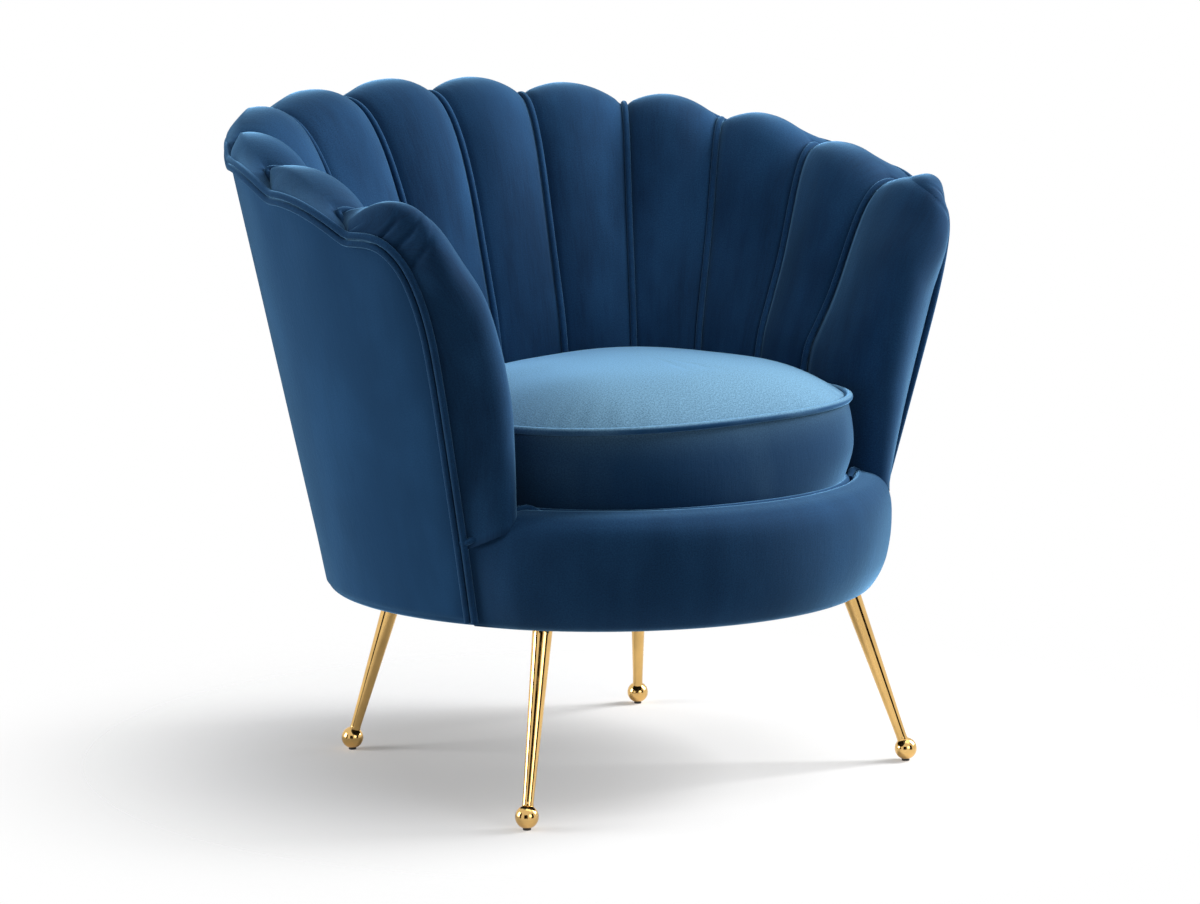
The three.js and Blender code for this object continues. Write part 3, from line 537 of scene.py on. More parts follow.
def nap_group():
    """Velvet nap: streaks along the pile, blotches where it was brushed, painted top light where it faces up
    and painted shade in the seams.
    """
    group, given, outlet = new_group("Velvet nap", {
        "Colour": (0.01, 0.05, 0.15, 1), "Dark": (0.005, 0.02, 0.07, 1), "Light": (0.05, 0.16, 0.34, 1),
        "Streaks": 0.5, "Blotches": 0.4, "Upward": 0.5, "Grain": 0.5, "Seam": 0.0,
    })
    fine = stretched_noise(group, given["Vector"], (330, 34, 40), 4.0, 0.6)
    broad = stretched_noise(group, given["Vector"], (38, 5.5, 8), 3.0, 0.5)
    blotch = stretched_noise(group, given["Vector"], (9, 4.2, 7), 3.0, 0.55)
    streak = math_node(group, "ADD", times(group, fine, 0.4), times(group, broad, 0.6))
    normal = node(group, "ShaderNodeNewGeometry").outputs["Normal"]
    facing = node(group, "ShaderNodeSeparateXYZ", {0: normal}).outputs["Z"]
    grain = noise_value(group, given["Vector"], 620.0, 2.0, 0.7)
    mixed = given["Colour"]
    for share, strength, other in (
        (ramp_between(group, streak, 0.4, 0.66), given["Streaks"], "Dark"),
        (ramp_between(group, blotch, 0.42, 0.68), given["Blotches"], "Light"),
        # painted top light: the velvet turns towards its light colour where its surface faces up, standing
        # in for light from above and sheen
        (ramp_between(group, facing, 0.1, 0.95), given["Upward"], "Light"),
        (ramp_between(group, grain, 0.3, 0.7), given["Grain"], "Dark"),
        # painted shade: the seam_shade attribute mixes the velvet towards its dark colour in the seams and
        # on hidden backs
        (given["Seam"], 0.6, "Dark"),
    ):
        mixed = mix_colour(group, times(group, share, strength), mixed, given[other])
    return close_group(group, outlet, mixed, math_node(group, "ADD", fine, blotch))


def pile_group():
    """The short pile of the velvet, as a fine height."""
    group, given, outlet = new_group("Velvet pile", {}, ("Height",))
    grain = noise_value(group, given["Vector"], 1500.0, 2.0, 0.6)
    crush = noise_value(group, given["Vector"], 130.0, 3.0, 0.6)
    group.links.new(math_node(group, "ADD", times(group, grain, 0.4), crush), outlet.inputs["Height"])
    return group


def wood_group():
    """Wood grain along X of its vector, with pores."""
    group, given, outlet = new_group("Wood grain", {
        "Wood": (0.5, 0.35, 0.2, 1), "Late wood": (0.3, 0.19, 0.1, 1), "Figure": 1.0})
    place = node(group, "ShaderNodeMapping", {"Vector": given["Vector"], "Scale": (2.5, 30, 30)})
    waves = node(group, "ShaderNodeTexWave", {
        "Vector": place.outputs["Vector"], "Scale": 1.0, "Distortion": 5.0,
        "Detail": 3.0, "Detail Scale": 1.4}, bands_direction="Y").outputs["Fac"]
    pores = stretched_noise(group, given["Vector"], (30, 900, 900), 3.0, 0.6)
    open_pores = times(group, ramp_between(group, pores, 0.5, 0.75), 0.3)
    share = times(group, waves, times(group, given["Figure"], 0.5))
    share = math_node(group, "ADD", share, open_pores, True)
    mixed = mix_colour(group, share, given["Wood"], given["Late wood"])
    return close_group(group, outlet, mixed, pores)


def weave_group():
    """A plain weave with a fine thread."""
    group, given, outlet = new_group("Plain weave", {
        "Thread": (0.03, 0.03, 0.03, 1), "Gap": (0.005, 0.005, 0.005, 1), "Threads": 900.0})
    bands = [
        node(group, "ShaderNodeTexWave", {
            "Vector": given["Vector"], "Scale": given["Threads"], "Distortion": 0.4},
            bands_direction=direction).outputs["Fac"]
        for direction in ("X", "Y")
    ]
    height = times(group, *bands)
    mixed = mix_colour(group, ramp_between(group, height, 0.05, 0.4), given["Gap"], given["Thread"])
    return close_group(group, outlet, mixed, height)


def wear_group():
    """Soft smudges and hairline scratches of a polished or moulded surface."""
    group, given, outlet = new_group(
        "Surface wear", {"Roughness": 0.15, "Smudges": 0.1}, ("Roughness", "Height"))
    smudge = noise_value(group, given["Vector"], 45.0, 4.0, 0.6)
    hair = stretched_noise(group, given["Vector"], (900, 900, 60), 2.0, 0.5)
    seam_shade_and_smudges = times(group, ramp_between(group, smudge, 0.45, 0.75), given["Smudges"])
    return close_group(group, outlet, math_node(group, "ADD", given["Roughness"], seam_shade_and_smudges), hair)


GROUPS = {}
GROUP_MAKERS = {
    "nap": nap_group, "pile": pile_group, "wood": wood_group, "weave": weave_group, "wear": wear_group,
}


def shared_group(tree, name, vector, **values):
    """The node of a shared group, which is made the first time that it is used, with its inputs set."""
    if name not in GROUPS:
        GROUPS[name] = GROUP_MAKERS[name]()
    made = tree.nodes.new("ShaderNodeGroup")
    made.node_tree = GROUPS[name]
    tree.links.new(vector, made.inputs["Vector"])
    for key, value in values.items():
        made.inputs[key.replace("_", " ")].default_value = value
    return made


# Materials

def new_material(name, **constants):
    material = bpy.data.materials.new(name)
    material.use_nodes = True
    tree = material.node_tree
    shader = tree.nodes["Principled BSDF"]
    for key, value in constants.items():
        shader.inputs[key.replace("_", " ")].default_value = value
    material.diffuse_color = (0.2, 0.3, 0.5, 1)
    return material, tree, shader


def coordinates(tree, kind="Object"):
    return tree.nodes.new("ShaderNodeTexCoord").outputs[kind]


def bump(tree, shader, heights):
    """Bumps one on another; each has a height, a strength and a distance."""
    normal = None
    for height, strength, distance in heights:
        inputs = {"Height": height, "Strength": strength, "Distance": distance}
        if normal is not None:
            inputs["Normal"] = normal
        normal = node(tree, "ShaderNodeBump", inputs).outputs["Normal"]
    tree.links.new(normal, shader.inputs["Normal"])


def rgba(colour, factor=1):
    return (*(channel * factor for channel in colour), 1)


def velvet_material(name, colour, dark, light, streaks, blotches, painted_top_light, kind="UV", seam_shade_and_smudges=False):
    material, tree, shader = new_material(
        name, Roughness=0.9, Sheen_Weight=1.0, Sheen_Roughness=0.34,
        Sheen_Tint=(0.27, 0.61, 1.0, 1), Specular_IOR_Level=0.12)
    nap = shared_group(
        tree, "nap", coordinates(tree, kind), Colour=colour, Dark=dark, Light=light,
        Streaks=streaks, Blotches=blotches, Upward=painted_top_light)
    # painted shade: the seam_shade attribute darkens the velvet in its seams
    if seam_shade_and_smudges:
        shade = node(tree, "ShaderNodeAttribute", attribute_name="seam_shade")
        tree.links.new(shade.outputs["Fac"], nap.inputs["Seam"])
    pile = shared_group(tree, "pile", coordinates(tree))
    tree.links.new(nap.outputs["Color"], shader.inputs["Base Color"])
    bump(tree, shader, [(nap.outputs["Height"], 0.25, 0.0006), (pile.outputs["Height"], 0.35, 0.0005)])
    return material


def brass_material(colour):
    material, tree, shader = new_material("Polished brass", Metallic=1.0, Base_Color=rgba(colour))
    wear = shared_group(tree, "wear", coordinates(tree), Roughness=0.09, Smudges=0.1)
    tree.links.new(wear.outputs["Roughness"], shader.inputs["Roughness"])
    tone = ramp_between(tree, noise_value(tree, coordinates(tree), 30.0, 3.0, 0.5), 0.35, 0.7)
    tree.links.new(mix_colour(tree, tone, rgba(colour), rgba(colour, 0.86)), shader.inputs["Base Color"])
    bump(tree, shader, [(wear.outputs["Height"], 0.02, 0.0001)])
    return material


def wood_material(name, colour, figure, turned):
    material, tree, shader = new_material(name, Roughness=0.62, Specular_IOR_Level=0.35)
    place = node(tree, "ShaderNodeMapping", {"Vector": coordinates(tree), "Rotation": turned})
    grain = shared_group(
        tree, "wood", place.outputs["Vector"],
        Wood=rgba(colour), Late_wood=rgba(colour, 0.55), Figure=figure)
    tree.links.new(grain.outputs["Color"], shader.inputs["Base Color"])
    bump(tree, shader, [(grain.outputs["Height"], 0.3, 0.0004)])
    return material


def woven_material(name, colour, threads, strength):
    material, tree, shader = new_material(name, Roughness=0.88, Specular_IOR_Level=0.2)
    weave = shared_group(
        tree, "weave", coordinates(tree), Thread=rgba(colour), Gap=rgba(colour, 0.3), Threads=threads)
    tree.links.new(weave.outputs["Color"], shader.inputs["Base Color"])
    bump(tree, shader, [(weave.outputs["Height"], strength, 0.0005)])
    return material


def moulded_material(name, colour):
    material, tree, shader = new_material(name, Specular_IOR_Level=0.4)
    wear = shared_group(tree, "wear", coordinates(tree), Roughness=0.45)
    tree.links.new(wear.outputs["Roughness"], shader.inputs["Roughness"])
    speck = ramp_between(tree, noise_value(tree, coordinates(tree), 400.0, 2.0, 0.5), 0.5, 0.8)
    tree.links.new(mix_colour(tree, speck, rgba(colour), rgba(colour, 2)), shader.inputs["Base Color"])
    bump(tree, shader, [(wear.outputs["Height"], 0.1, 0.0002)])
    return material


MATERIALS = {}


def finish_of(name):
    """The material of that name, made from the scene's colours the first time that it is used."""
    colours = bpy.context.scene.chair_colours
    # dark also carries the painted seam shade, and light also carries the painted top light
    velvet, dark, light = rgba(colours.velvet), rgba(colours.velvet_dark_and_painted_seam_shade), rgba(colours.velvet_blotch_and_painted_top_light)
    # painted light: seat is the painted sheen and top light of the cushion's top
    seat = rgba(colours.seat)
    quarter_turn = math.pi / 2
    # Each velvet finish gives its colour, dark colour and light colour, then the strengths of streaks, of
    # blotches and of painted top light
    finishes = {
        "channel": (
            velvet_material, "Velvet of the channels", velvet, dark, light, 0.5, 0.4, 0.06, "UV", True),
        # painted light: the outer cover is the same velvet painted 1.25 times lighter, standing in for the
        # light on the outside
        "cover": (
            velvet_material, "Velvet of the outer cover", rgba(colours.velvet, 1.25), velvet, light,
            0.35, 0.45, 0.1),
        "border": (velvet_material, "Velvet of the border", velvet, dark, light, 0.14, 0.3, 0.1),
        # painted highlight: the welts are the same velvet painted 1.15 times lighter
        "welt": (
            velvet_material, "Velvet of the welts", rgba(colours.velvet, 1.15), dark, light,
            0.3, 0.3, 0.15, "Object"),
        # painted top light: the cushion's upward faces take the full painted seat top colour
        "seat": (velvet_material, "Velvet of the cushion", velvet, dark, seat, 0.1, 0.05, 1.0),
        # painted highlight: the cushion's top piping is the same velvet painted 1.5 times lighter, with
        # painted top light towards the seat top colour
        "seat welt": (
            velvet_material, "Velvet of the cushion welt", rgba(colours.velvet, 1.5), velvet, seat,
            0.3, 0.3, 0.9, "Object"),
        "deck": (woven_material, "Deck cloth", colours.lining, 420.0, 0.5),
        "brass": (brass_material, colours.brass),
        "plywood": (wood_material, "Plywood", colours.plywood, 0.5, (0, 0, 0)),
        "upright plywood": (wood_material, "Upright plywood", colours.plywood, 0.5, (0, quarter_turn, 0)),
        "beech": (wood_material, "Planed hardwood", colours.beech, 0.9, (0, 0, 0)),
        "beech along y": (wood_material, "Planed hardwood rails", colours.beech, 0.9, (0, 0, quarter_turn)),
        "webbing": (woven_material, "Elastic webbing", colours.webbing, 160.0, 0.9),
        "lining": (woven_material, "Dust cover cloth", colours.lining, 900.0, 0.3),
        "nylon": (moulded_material, "Moulded nylon", (0.02, 0.02, 0.02)),
    }
    if name not in MATERIALS:
        maker, *values = finishes[name]
        MATERIALS[name] = maker(*values)
    return MATERIALS[name]


# Channels

ARM_RUN_END = 2.98
CROWN_START = 0.25
CROWN_GROWTH = 0.6
CROWN_POWERS = (2.3, 2)
TUCK_START = 0.8
TUCK_AT_WELT = 0.35
# Painted shade in the seams: how far the velvet is darkened at a seam, where that starts across a channel
# and where it fades out along the run
SEAM_SHADE = 0.8
CHANNEL_STEPS = 36
CHANNEL_RUNS = (8, 20, 30, 24)
CHANNEL_UV = 1.3
CHANNEL_UV_SIDE = 4.1
SHADE_EDGE = 0.9
SHADE_FADE = (1.7, 2.2)
ARM_ROUNDS = 64
ARM_RUNS = (10, 18, 40, 50)
ARM_LAST_RUN = 2.995
ARM_CROWNS = (6, 11)
ARM_TUCKS = (2.5, 2)
ARM_UV = 11
ARM_UV_SIDE = 5.3
CHANNEL_WAVE = 1.3
CHANNEL_WAVE_SIZE = 55
CHANNEL_WAVE_STRETCH = 0.6
ARM_FOOT_DEPTH = 9
ARM_WAVE = 1.6
ARM_WAVE_SIZE = 60
UV_PER_DEGREE = 0.0065
NEARBY_SHARE = 0.01

# Small pleats of the arm front: where each starts along the welt, how far across it reaches, how it leans
ARM_PLEATS = ((2.42, 0.6, -0.04), (2.22, 0.45, -0.1), (2.0, 0.5, -0.08))
PLEAT_WIDTH = 0.028
PLEAT_END = 0.97


class Skin:
    """The closed sections of a padded piece, with its UVs and the painted shade of its seams."""

    def __init__(self, side=1):
        self.side = side
        self.sections, self.uvs, self.seam_shade_and_smudges = [], [], []

    def add(self, face, back, uvs, shade=()):
        self.sections.append([to_frame(p, self.side) for p in face + back[::-1]])
        self.uvs += uvs + uvs[::-1]
        # painted shade: the hidden back of a piece is fully darkened
        self.seam_shade_and_smudges += [*shade, *[1.0] * len(shade)]

    def piece(self, name, finish, sharp):
        points, faces = flat(self.sections), loft(self.sections)
        return make_piece(name, points, faces, finish_of(finish), self.uvs, sharp, self.seam_shade_and_smudges or None)


def channel_offset(across, run, sizes):
    """How far the velvet stands out of the seam line, in millimetres."""
    growth = clamp((run / 2 - CROWN_START) / CROWN_GROWTH)
    fade = (1 - (run - 2) ** 1.4) ** 1.5 if run > 2 else 1
    crown = lerp(sizes.crown_seat, sizes.crown_top, growth) * METRE * fade
    tuck = sizes.seam_depth * METRE * ramp(across, TUCK_START, 1) * lerp(TUCK_AT_WELT, 1, fade)
    return crown * (1 - across ** lerp(*CROWN_POWERS, growth)) - tuck


def channel_skin(low, side, sizes):
    """One channel of the back, from one seam to the next."""
    runs = run_steps(CHANNEL_RUNS)
    skin = Skin(side)
    width = (SEAT_ANGLES[low + 1] - SEAT_ANGLES[low]) * UV_PER_DEGREE
    for place in spread(low, low + 1, CHANNEL_STEPS, 0.55):
        line = SeamLine(place, low)
        face, uvs, shade = [], [], []
        length = 0.0
        across = abs(2 * (place - low) - 1)
        for run in runs:
            point = line.point(run)
            free = (1 - across ** 4) * clamp(run - 0.4) * clamp((3 - run) * 3)
            spot = Vector((point.x * side, point.y, point.z * CHANNEL_WAVE_STRETCH))
            wave = uneven(spot, CHANNEL_WAVE_SIZE, 3.1 + low) * CHANNEL_WAVE * free
            point = point + line.swell(run) * (channel_offset(across, run, sizes) + wave)
            if face:
                length += (point - face[-1]).length * MM
            face.append(point)
            uvs.append(((place - low) * width + low * CHANNEL_UV + (side + 1) * CHANNEL_UV_SIDE, length))
            # painted shade: darker towards the seams, much less so past the rim
            shade.append(SEAM_SHADE * ramp(across, SHADE_EDGE, 1) * (1 - 0.85 * ramp(run, *SHADE_FADE)))
        skin.add(face, [line.back(run) for run in runs], uvs, shade)
    return skin


def arm_front_offset(point, run, share, side, sizes):
    """How far the velvet of the arm's front stands out, in millimetres."""
    close = ramp(share, 0.06, 0) * ARM_TUCKS[0] + ramp(share, 0.95, 1) * ARM_TUCKS[1]
    ease = clamp((ARM_RUN_END - run) * 4)
    free = smooth(share * 5) * smooth((1 - share) * 5) * ease * clamp(run * 2)
    wave = uneven(Vector((point.x * side, point.y, point.z)), ARM_WAVE_SIZE, 7.7) * ARM_WAVE * free
    crown = lerp(*ARM_CROWNS, smooth(run - 0.9)) * (1 - (2 * share - 1) ** 2)
    crown *= clamp((ARM_RUN_END - run) * 2)
    pucker = 0.0
    for at, reach, lean in ARM_PLEATS:
        away = (run - at - lean * (1 - share)) / PLEAT_WIDTH
        pucker += math.exp(-away * away) * ramp(share, reach, PLEAT_END)
    return crown + wave - pucker * sizes.pleats * METRE - close * lerp(0.3, 1, ease)


def arm_front_skin(side, sizes):
    """The padding that wraps the front of the arm, from the seat to the last seam's end."""
    shares = spread(0, 1, ARM_ROUNDS, 0.5)
    line = SeamLine(SEAMS, SEAMS)
    skin = Skin(side)
    height = 0.0
    last = None
    for run in run_steps(ARM_RUNS, ARM_RUN_END):
        face, uvs, shade = [], [], []
        middle = front_pad_point(line, run, 0.5)
        core = front_pad_back(line, run, 0.5)
        if last is not None:
            height += (middle - last).length * MM
        last = middle
        width = 0.0
        for share in shares:
            point = front_pad_point(line, run, share)
            ahead = front_pad_point(line, run, min(share + NEARBY_SHARE, 1))
            behind = front_pad_point(line, run, max(share - NEARBY_SHARE, 0))
            higher = front_pad_point(line, min(run + RUN_STEP, ARM_LAST_RUN), share)
            lower = front_pad_point(line, max(run - RUN_STEP, 0), share)
            proud = (higher - lower).cross(ahead - behind).normalized()
            if proud.dot(point - core) < 0:
                proud.negate()
            point = point + proud * arm_front_offset(point, run, share, side, sizes)
            if face:
                width += (point - face[-1]).length * MM
            face.append(point)
            uvs.append((width + (side + 1) * ARM_UV_SIDE + ARM_UV, height))
            # painted shade: darker at the last seam and at the welt
            at_seam = ramp(share, 0.05, 0) * (1 - ramp(run, *SHADE_FADE))
            shade.append(SEAM_SHADE * max(at_seam, ramp(share, PLEAT_END, 1)))
        back = [front_pad_back(line, run, share) for share in shares]
        # painted shade: the hidden foot below the first run is fully darkened
        if run == 0:
            under = Vector((0, 0, ARM_FOOT_DEPTH))
            skin.add([p - under for p in face], [p - under for p in back], uvs, [1.0] * len(shade))
        skin.add(face, back, uvs, shade)
    return skin


class CHAIR_OT_channels(bpy.types.Operator):
    """Twelve padded channels: ten round the back and one round each arm front"""
    bl_idname = "scallop_chair.channels"
    bl_label = "Padded channels"

    def execute(self, context):
        sizes = context.scene.chair_sizes
        for name, side in SIDES.items():
            for low in range(SEAMS + 1):
                skin = channel_skin(low, side, sizes) if low < SEAMS else arm_front_skin(side, sizes)
                piece = skin.piece(f"padded_channel_{name}_{low + 1}", "channel", PADDED_SHARP)
                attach(piece, "chair")
                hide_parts(f"channel_{name}_{low + 1}")
        return {"FINISHED"}


# Welts

SEAM_WELT_RISE = 1.9
SEAM_WELT_SINK = -6
SEAM_WELT_DIVE = (1.95, 2.3)
EDGE_WELT_STAND = 1.2
EDGE_STEPS = 24
EDGE_START_GAP = 3
EDGE_END_GAP = 5
ARM_EDGE_STEPS = 70
SEAM_WELT_STEPS = 150
CORD_MERGE = 0.00001

def welt_tree():
    """Geometry Nodes: a row of points becomes a round cord with closed ends."""
    tree = bpy.data.node_groups.new("Welt cord", "GeometryNodeTree")
    tree.is_modifier = True
    tree.interface.new_socket("Geometry", in_out="INPUT", socket_type="NodeSocketGeometry")
    tree.interface.new_socket("Radius", in_out="INPUT", socket_type="NodeSocketFloat").default_value = 0.004
    tree.interface.new_socket("Step", in_out="INPUT", socket_type="NodeSocketFloat").default_value = 0.004
    tree.interface.new_socket("Material", in_out="INPUT", socket_type="NodeSocketMaterial")
    tree.interface.new_socket("Geometry", in_out="OUTPUT", socket_type="NodeSocketGeometry")
    inlet, outlet = tree.nodes.new("NodeGroupInput"), tree.nodes.new("NodeGroupOutput")
    curve = node(tree, "GeometryNodeMeshToCurve", {"Mesh": inlet.outputs["Geometry"]}).outputs[0]
    resampled = node(
        tree, "GeometryNodeResampleCurve", {"Curve": curve, "Length": inlet.outputs["Step"]}, mode="LENGTH")
    ring = node(tree, "GeometryNodeCurvePrimitiveCircle", {
        "Resolution": 14, "Radius": inlet.outputs["Radius"]})
    swept = node(tree, "GeometryNodeCurveToMesh", {
        "Curve": resampled.outputs[0], "Profile Curve": ring.outputs[0], "Fill Caps": True}).outputs[0]
    smoothed = node(tree, "GeometryNodeSetShadeSmooth", {"Geometry": swept}).outputs[0]
    real = node(tree, "GeometryNodeRealizeInstances", {"Geometry": smoothed}).outputs[0]
    painted = node(tree, "GeometryNodeSetMaterial", {
        "Geometry": real, "Material": inlet.outputs["Material"]}).outputs[0]
    tree.links.new(painted, outlet.inputs[0])
    return tree


def socket_named(tree, name):
    return next(item.identifier for item in tree.interface.items_tree
                if item.name == name and item.in_out == "INPUT")


def make_cords(name, paths, radius, material, closed=False):
    """One piece of welt cords, each along its own row of points in the frame."""
    if "welt" not in GROUPS:
        GROUPS["welt"] = welt_tree()
    tree = GROUPS["welt"]
    points, edges = [], []
    for path in paths:
        start = len(points)
        points += [tuple(p) for p in path]
        edges += [(start + i, start + i + 1) for i in range(len(path) - 1)]
        if closed:
            edges.append((len(points) - 1, start))
    mesh = bpy.data.meshes.new(f"{name}_path")
    mesh.from_pydata(points, edges, [])
    holder = link(f"{name}_path", mesh)
    modifier = holder.modifiers.new("Welt cord", "NODES")
    modifier.node_group = tree
    modifier[socket_named(tree, "Radius")] = radius
    modifier[socket_named(tree, "Material")] = material
    bpy.context.view_layer.update()
    shown = holder.evaluated_get(bpy.context.evaluated_depsgraph_get())
    result = bpy.data.meshes.new_from_object(shown)
    bpy.data.objects.remove(holder)
    mend(result, CORD_MERGE)
    result.shade_smooth()
    result.name = name
    return link(name, result)


class CHAIR_OT_seam_welts(bpy.types.Operator):
    """The single cords sewn into the eleven seams between the channels"""
    bl_idname = "scallop_chair.seam_welts"
    bl_label = "Seam welts"

    def execute(self, context):
        sizes = context.scene.chair_sizes
        every = [(place, side) for place in range(SEAMS + 1) for side in SIDES.values()]
        places = [(place, side) for place, side in every if place or side > 0]
        for place, side in places:
            line = SeamLine(place, min(place, SEAMS))
            path = []
            for run in spread(0, 3, SEAM_WELT_STEPS):
                raised = lerp(SEAM_WELT_RISE, SEAM_WELT_SINK, ramp(run, *SEAM_WELT_DIVE))
                path.append(to_frame(line.point(run) + line.proud(run) * raised, side))
            label = "middle" if place == 0 else f"{'right' if side > 0 else 'left'}_{place}"
            piece = make_cords(f"seam_welt_{label}", [path], sizes.seam_welt, finish_of("welt"))
            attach(piece, "chair")
        return {"FINISHED"}


def edge_row():
    """Angle and height of the outer edge on one side, from the middle of the back down to the border."""
    places = [(low + step / EDGE_STEPS, low) for low in range(SEAMS) for step in range(EDGE_STEPS)]
    row = [(between(EDGE_ANGLES, place), edge_height(place, low)) for place, low in places]
    return row + [arm_edge(share) for share in spread(1, 0, ARM_EDGE_STEPS)]


def soften(row, times=2):
    """Rounds the corners that a cord can't follow."""
    for _ in range(times):
        row = [row[0]] + [
            tuple((row[i - 1][k] + 2 * row[i][k] + row[i + 1][k]) / 4 for k in range(2))
            for i in range(1, len(row) - 1)
        ] + [row[-1]]
    return row


def edge_welt_path(offset, stand):
    front = spread(JUNCTION_HEIGHT - EDGE_START_GAP, BASE_BOTTOM + EDGE_END_GAP, EDGE_STEPS)
    right = edge_row() + [(ARRIS_ANGLE, height) for height in front]
    left = [(-angle, height) for angle, height in right[:0:-1]]
    row = soften(left + right, 3)
    middles = [shell_point(angle, height, -stand) for angle, height in row]
    path = []
    for i, (angle, _) in enumerate(row):
        along = middles[min(i + 1, len(row) - 1)] - middles[max(i - 1, 0)]
        beside = polar(1, angle, 0).cross(along).normalized()
        path.append(to_frame(middles[i] + beside * offset))
    return path


class CHAIR_OT_edge_welts(bpy.types.Operator):
    """The double welt along the scalloped outer edge and down the arm fronts"""
    bl_idname = "scallop_chair.edge_welts"
    bl_label = "Double edge welt"

    def execute(self, context):
        sizes = context.scene.chair_sizes
        for name, way in (("upper", 1), ("lower", -1)):
            path = edge_welt_path(way * sizes.edge_spread * METRE, EDGE_WELT_STAND)
            piece = make_cords(f"double_welt_{name}", [path], sizes.edge_welt, finish_of("welt"))
            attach(piece, "chair")
            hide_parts(f"edge_welt_{name}")
        return {"FINISHED"}


# Outer cover

COVER_DEPTH = 4
COVER_GAP = 0.5
COVER_FOLD = 9
COVER_FOLD_STEPS = 6
COVER_STEPS = 60
FOLD_INSET = 9.5
FOLD_RISE = 2.5
FOLD_UV = 0.33
COVER_UV = 0.36
WAVE_RADIUS = 300
COVER_WAVE = 0.8
COVER_WAVE_SIZE = 60
RIPPLE_HEIGHT = 1.5
RIPPLE_REACH = 150
RIPPLE_COUNT = 22
RIPPLE_SLANT = 0.012


def cover_ripple(angle, height, top):
    """Soft folds under the welt where the cover is drawn round the arm, in millimetres."""
    near = ramp(height, top - RIPPLE_REACH, top) * ramp(abs(angle), 60, 95) * ramp(abs(angle), 119, 111)
    slow = uneven(polar(WAVE_RADIUS, angle, height * 0.35), COVER_WAVE_SIZE, 5.5)
    folds = math.sin(math.radians(angle) * RIPPLE_COUNT + height * RIPPLE_SLANT)
    return RIPPLE_HEIGHT * near * folds + COVER_WAVE * slow


class CHAIR_OT_outer_cover(bpy.types.Operator):
    """The velvet drawn over the outside of the tub, with its thin wadding"""
    bl_idname = "scallop_chair.outer_cover"
    bl_label = "Outer cover"

    def execute(self, context):
        row = [(angle, top - COVER_GAP) for angle, top in edge_row()]
        row = [(-angle, top) for angle, top in row[:0:-1]] + row
        skin = Skin()
        for angle, top in row:
            outer, inner, uvs = [], [], []
            for turn in spread(-90, 0, COVER_FOLD_STEPS)[:-1]:
                reach = BASE_RADIUS - COVER_FOLD + COVER_FOLD * math.cos(math.radians(turn))
                height = BASE_BOTTOM + COVER_FOLD + COVER_FOLD * math.sin(math.radians(turn))
                outer.append(polar(reach, angle, height))
                inner.append(
                    polar(min(reach, BASE_RADIUS - FOLD_INSET), angle, max(height, BASE_BOTTOM + FOLD_RISE)))
                uvs.append((math.radians(angle) * FOLD_UV, height * MM))
            for share in spread(0, 1, COVER_STEPS, 0.3):
                height = lerp(BASE_BOTTOM + COVER_FOLD, top, share)
                lift = cover_ripple(angle, height, top) * smooth(share * 8) * smooth((1 - share) * 12)
                outer.append(shell_point(angle, height, -lift))
                inner.append(shell_point(angle, height, COVER_DEPTH))
                uvs.append((math.radians(angle) * COVER_UV, height * MM))
            skin.add(outer, inner, uvs)
        piece = skin.piece("stretched_outer_cover", "cover", COVER_SHARP)
        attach(piece, "chair")
        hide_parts("outer_cover")
        return {"FINISHED"}


# Front border

BORDER_START = 117.6
BORDER_INNER = 268
BORDER_CLEAR = 295.8
BORDER_TOP = 329
BORDER_DIP = 12
BORDER_LEDGE = 280
BORDER_END = 0.085
BORDER_STEPS = 150
BORDER_FACE_STEPS = 36
BORDER_TOP_STEPS = 12
BORDER_UV_START = 3
BORDER_WAVE = 1.2
BORDER_WAVE_SIZE = 70
BORDER_LIP = 1.2
BORDER_UV_DEPTH = 30
BORDER_MERGE = 0.000002
SPARE_STEP = 0.001
FOOT_CORD_LENGTH = 0.115
FOOT_CORD_STEPS = 40
FOOT_CORD_RISE = 1.5
FOOT_CORD_SINK = 7
FOOT_CORD_INSET = 17

# The border stands nearly upright, with a round lower edge and a rolled top
BORDER_SHARES = (0, 0.03, 0.09, 0.17, 0.28, 0.46, 0.64, 0.79, 0.88, 0.94, 0.975, 1)
BORDER_BULGES = (-1, 6, 12, 17.5, 22.5, 26.5, 27.5, 26, 21.5, 14, 6.5, -6)


def border_top(share):
    """Height of the border's crest and how far its padding is full, at a share of its length."""
    from_end = min(share, 1 - share)
    top = lerp(JUNCTION_HEIGHT - 0.3, BORDER_TOP, smooth(from_end / BORDER_END))
    return top, smooth((from_end - 0.008) / BORDER_END)


def border_radius(share, up):
    """Radius of the border's face at a share of its length and of its height."""
    top, full = border_top(share)
    height = lerp(BASE_BOTTOM, top, up)
    end_radius = shell_radius(FLARE_ANGLE, height) - lerp(3.5, 0.5, ramp(up, 0, 0.06))
    return lerp(end_radius, BASE_RADIUS + monotone(BORDER_SHARES, BORDER_BULGES, up), full)


def border_angle(share):
    return lerp(BORDER_START, 360 - BORDER_START, share)


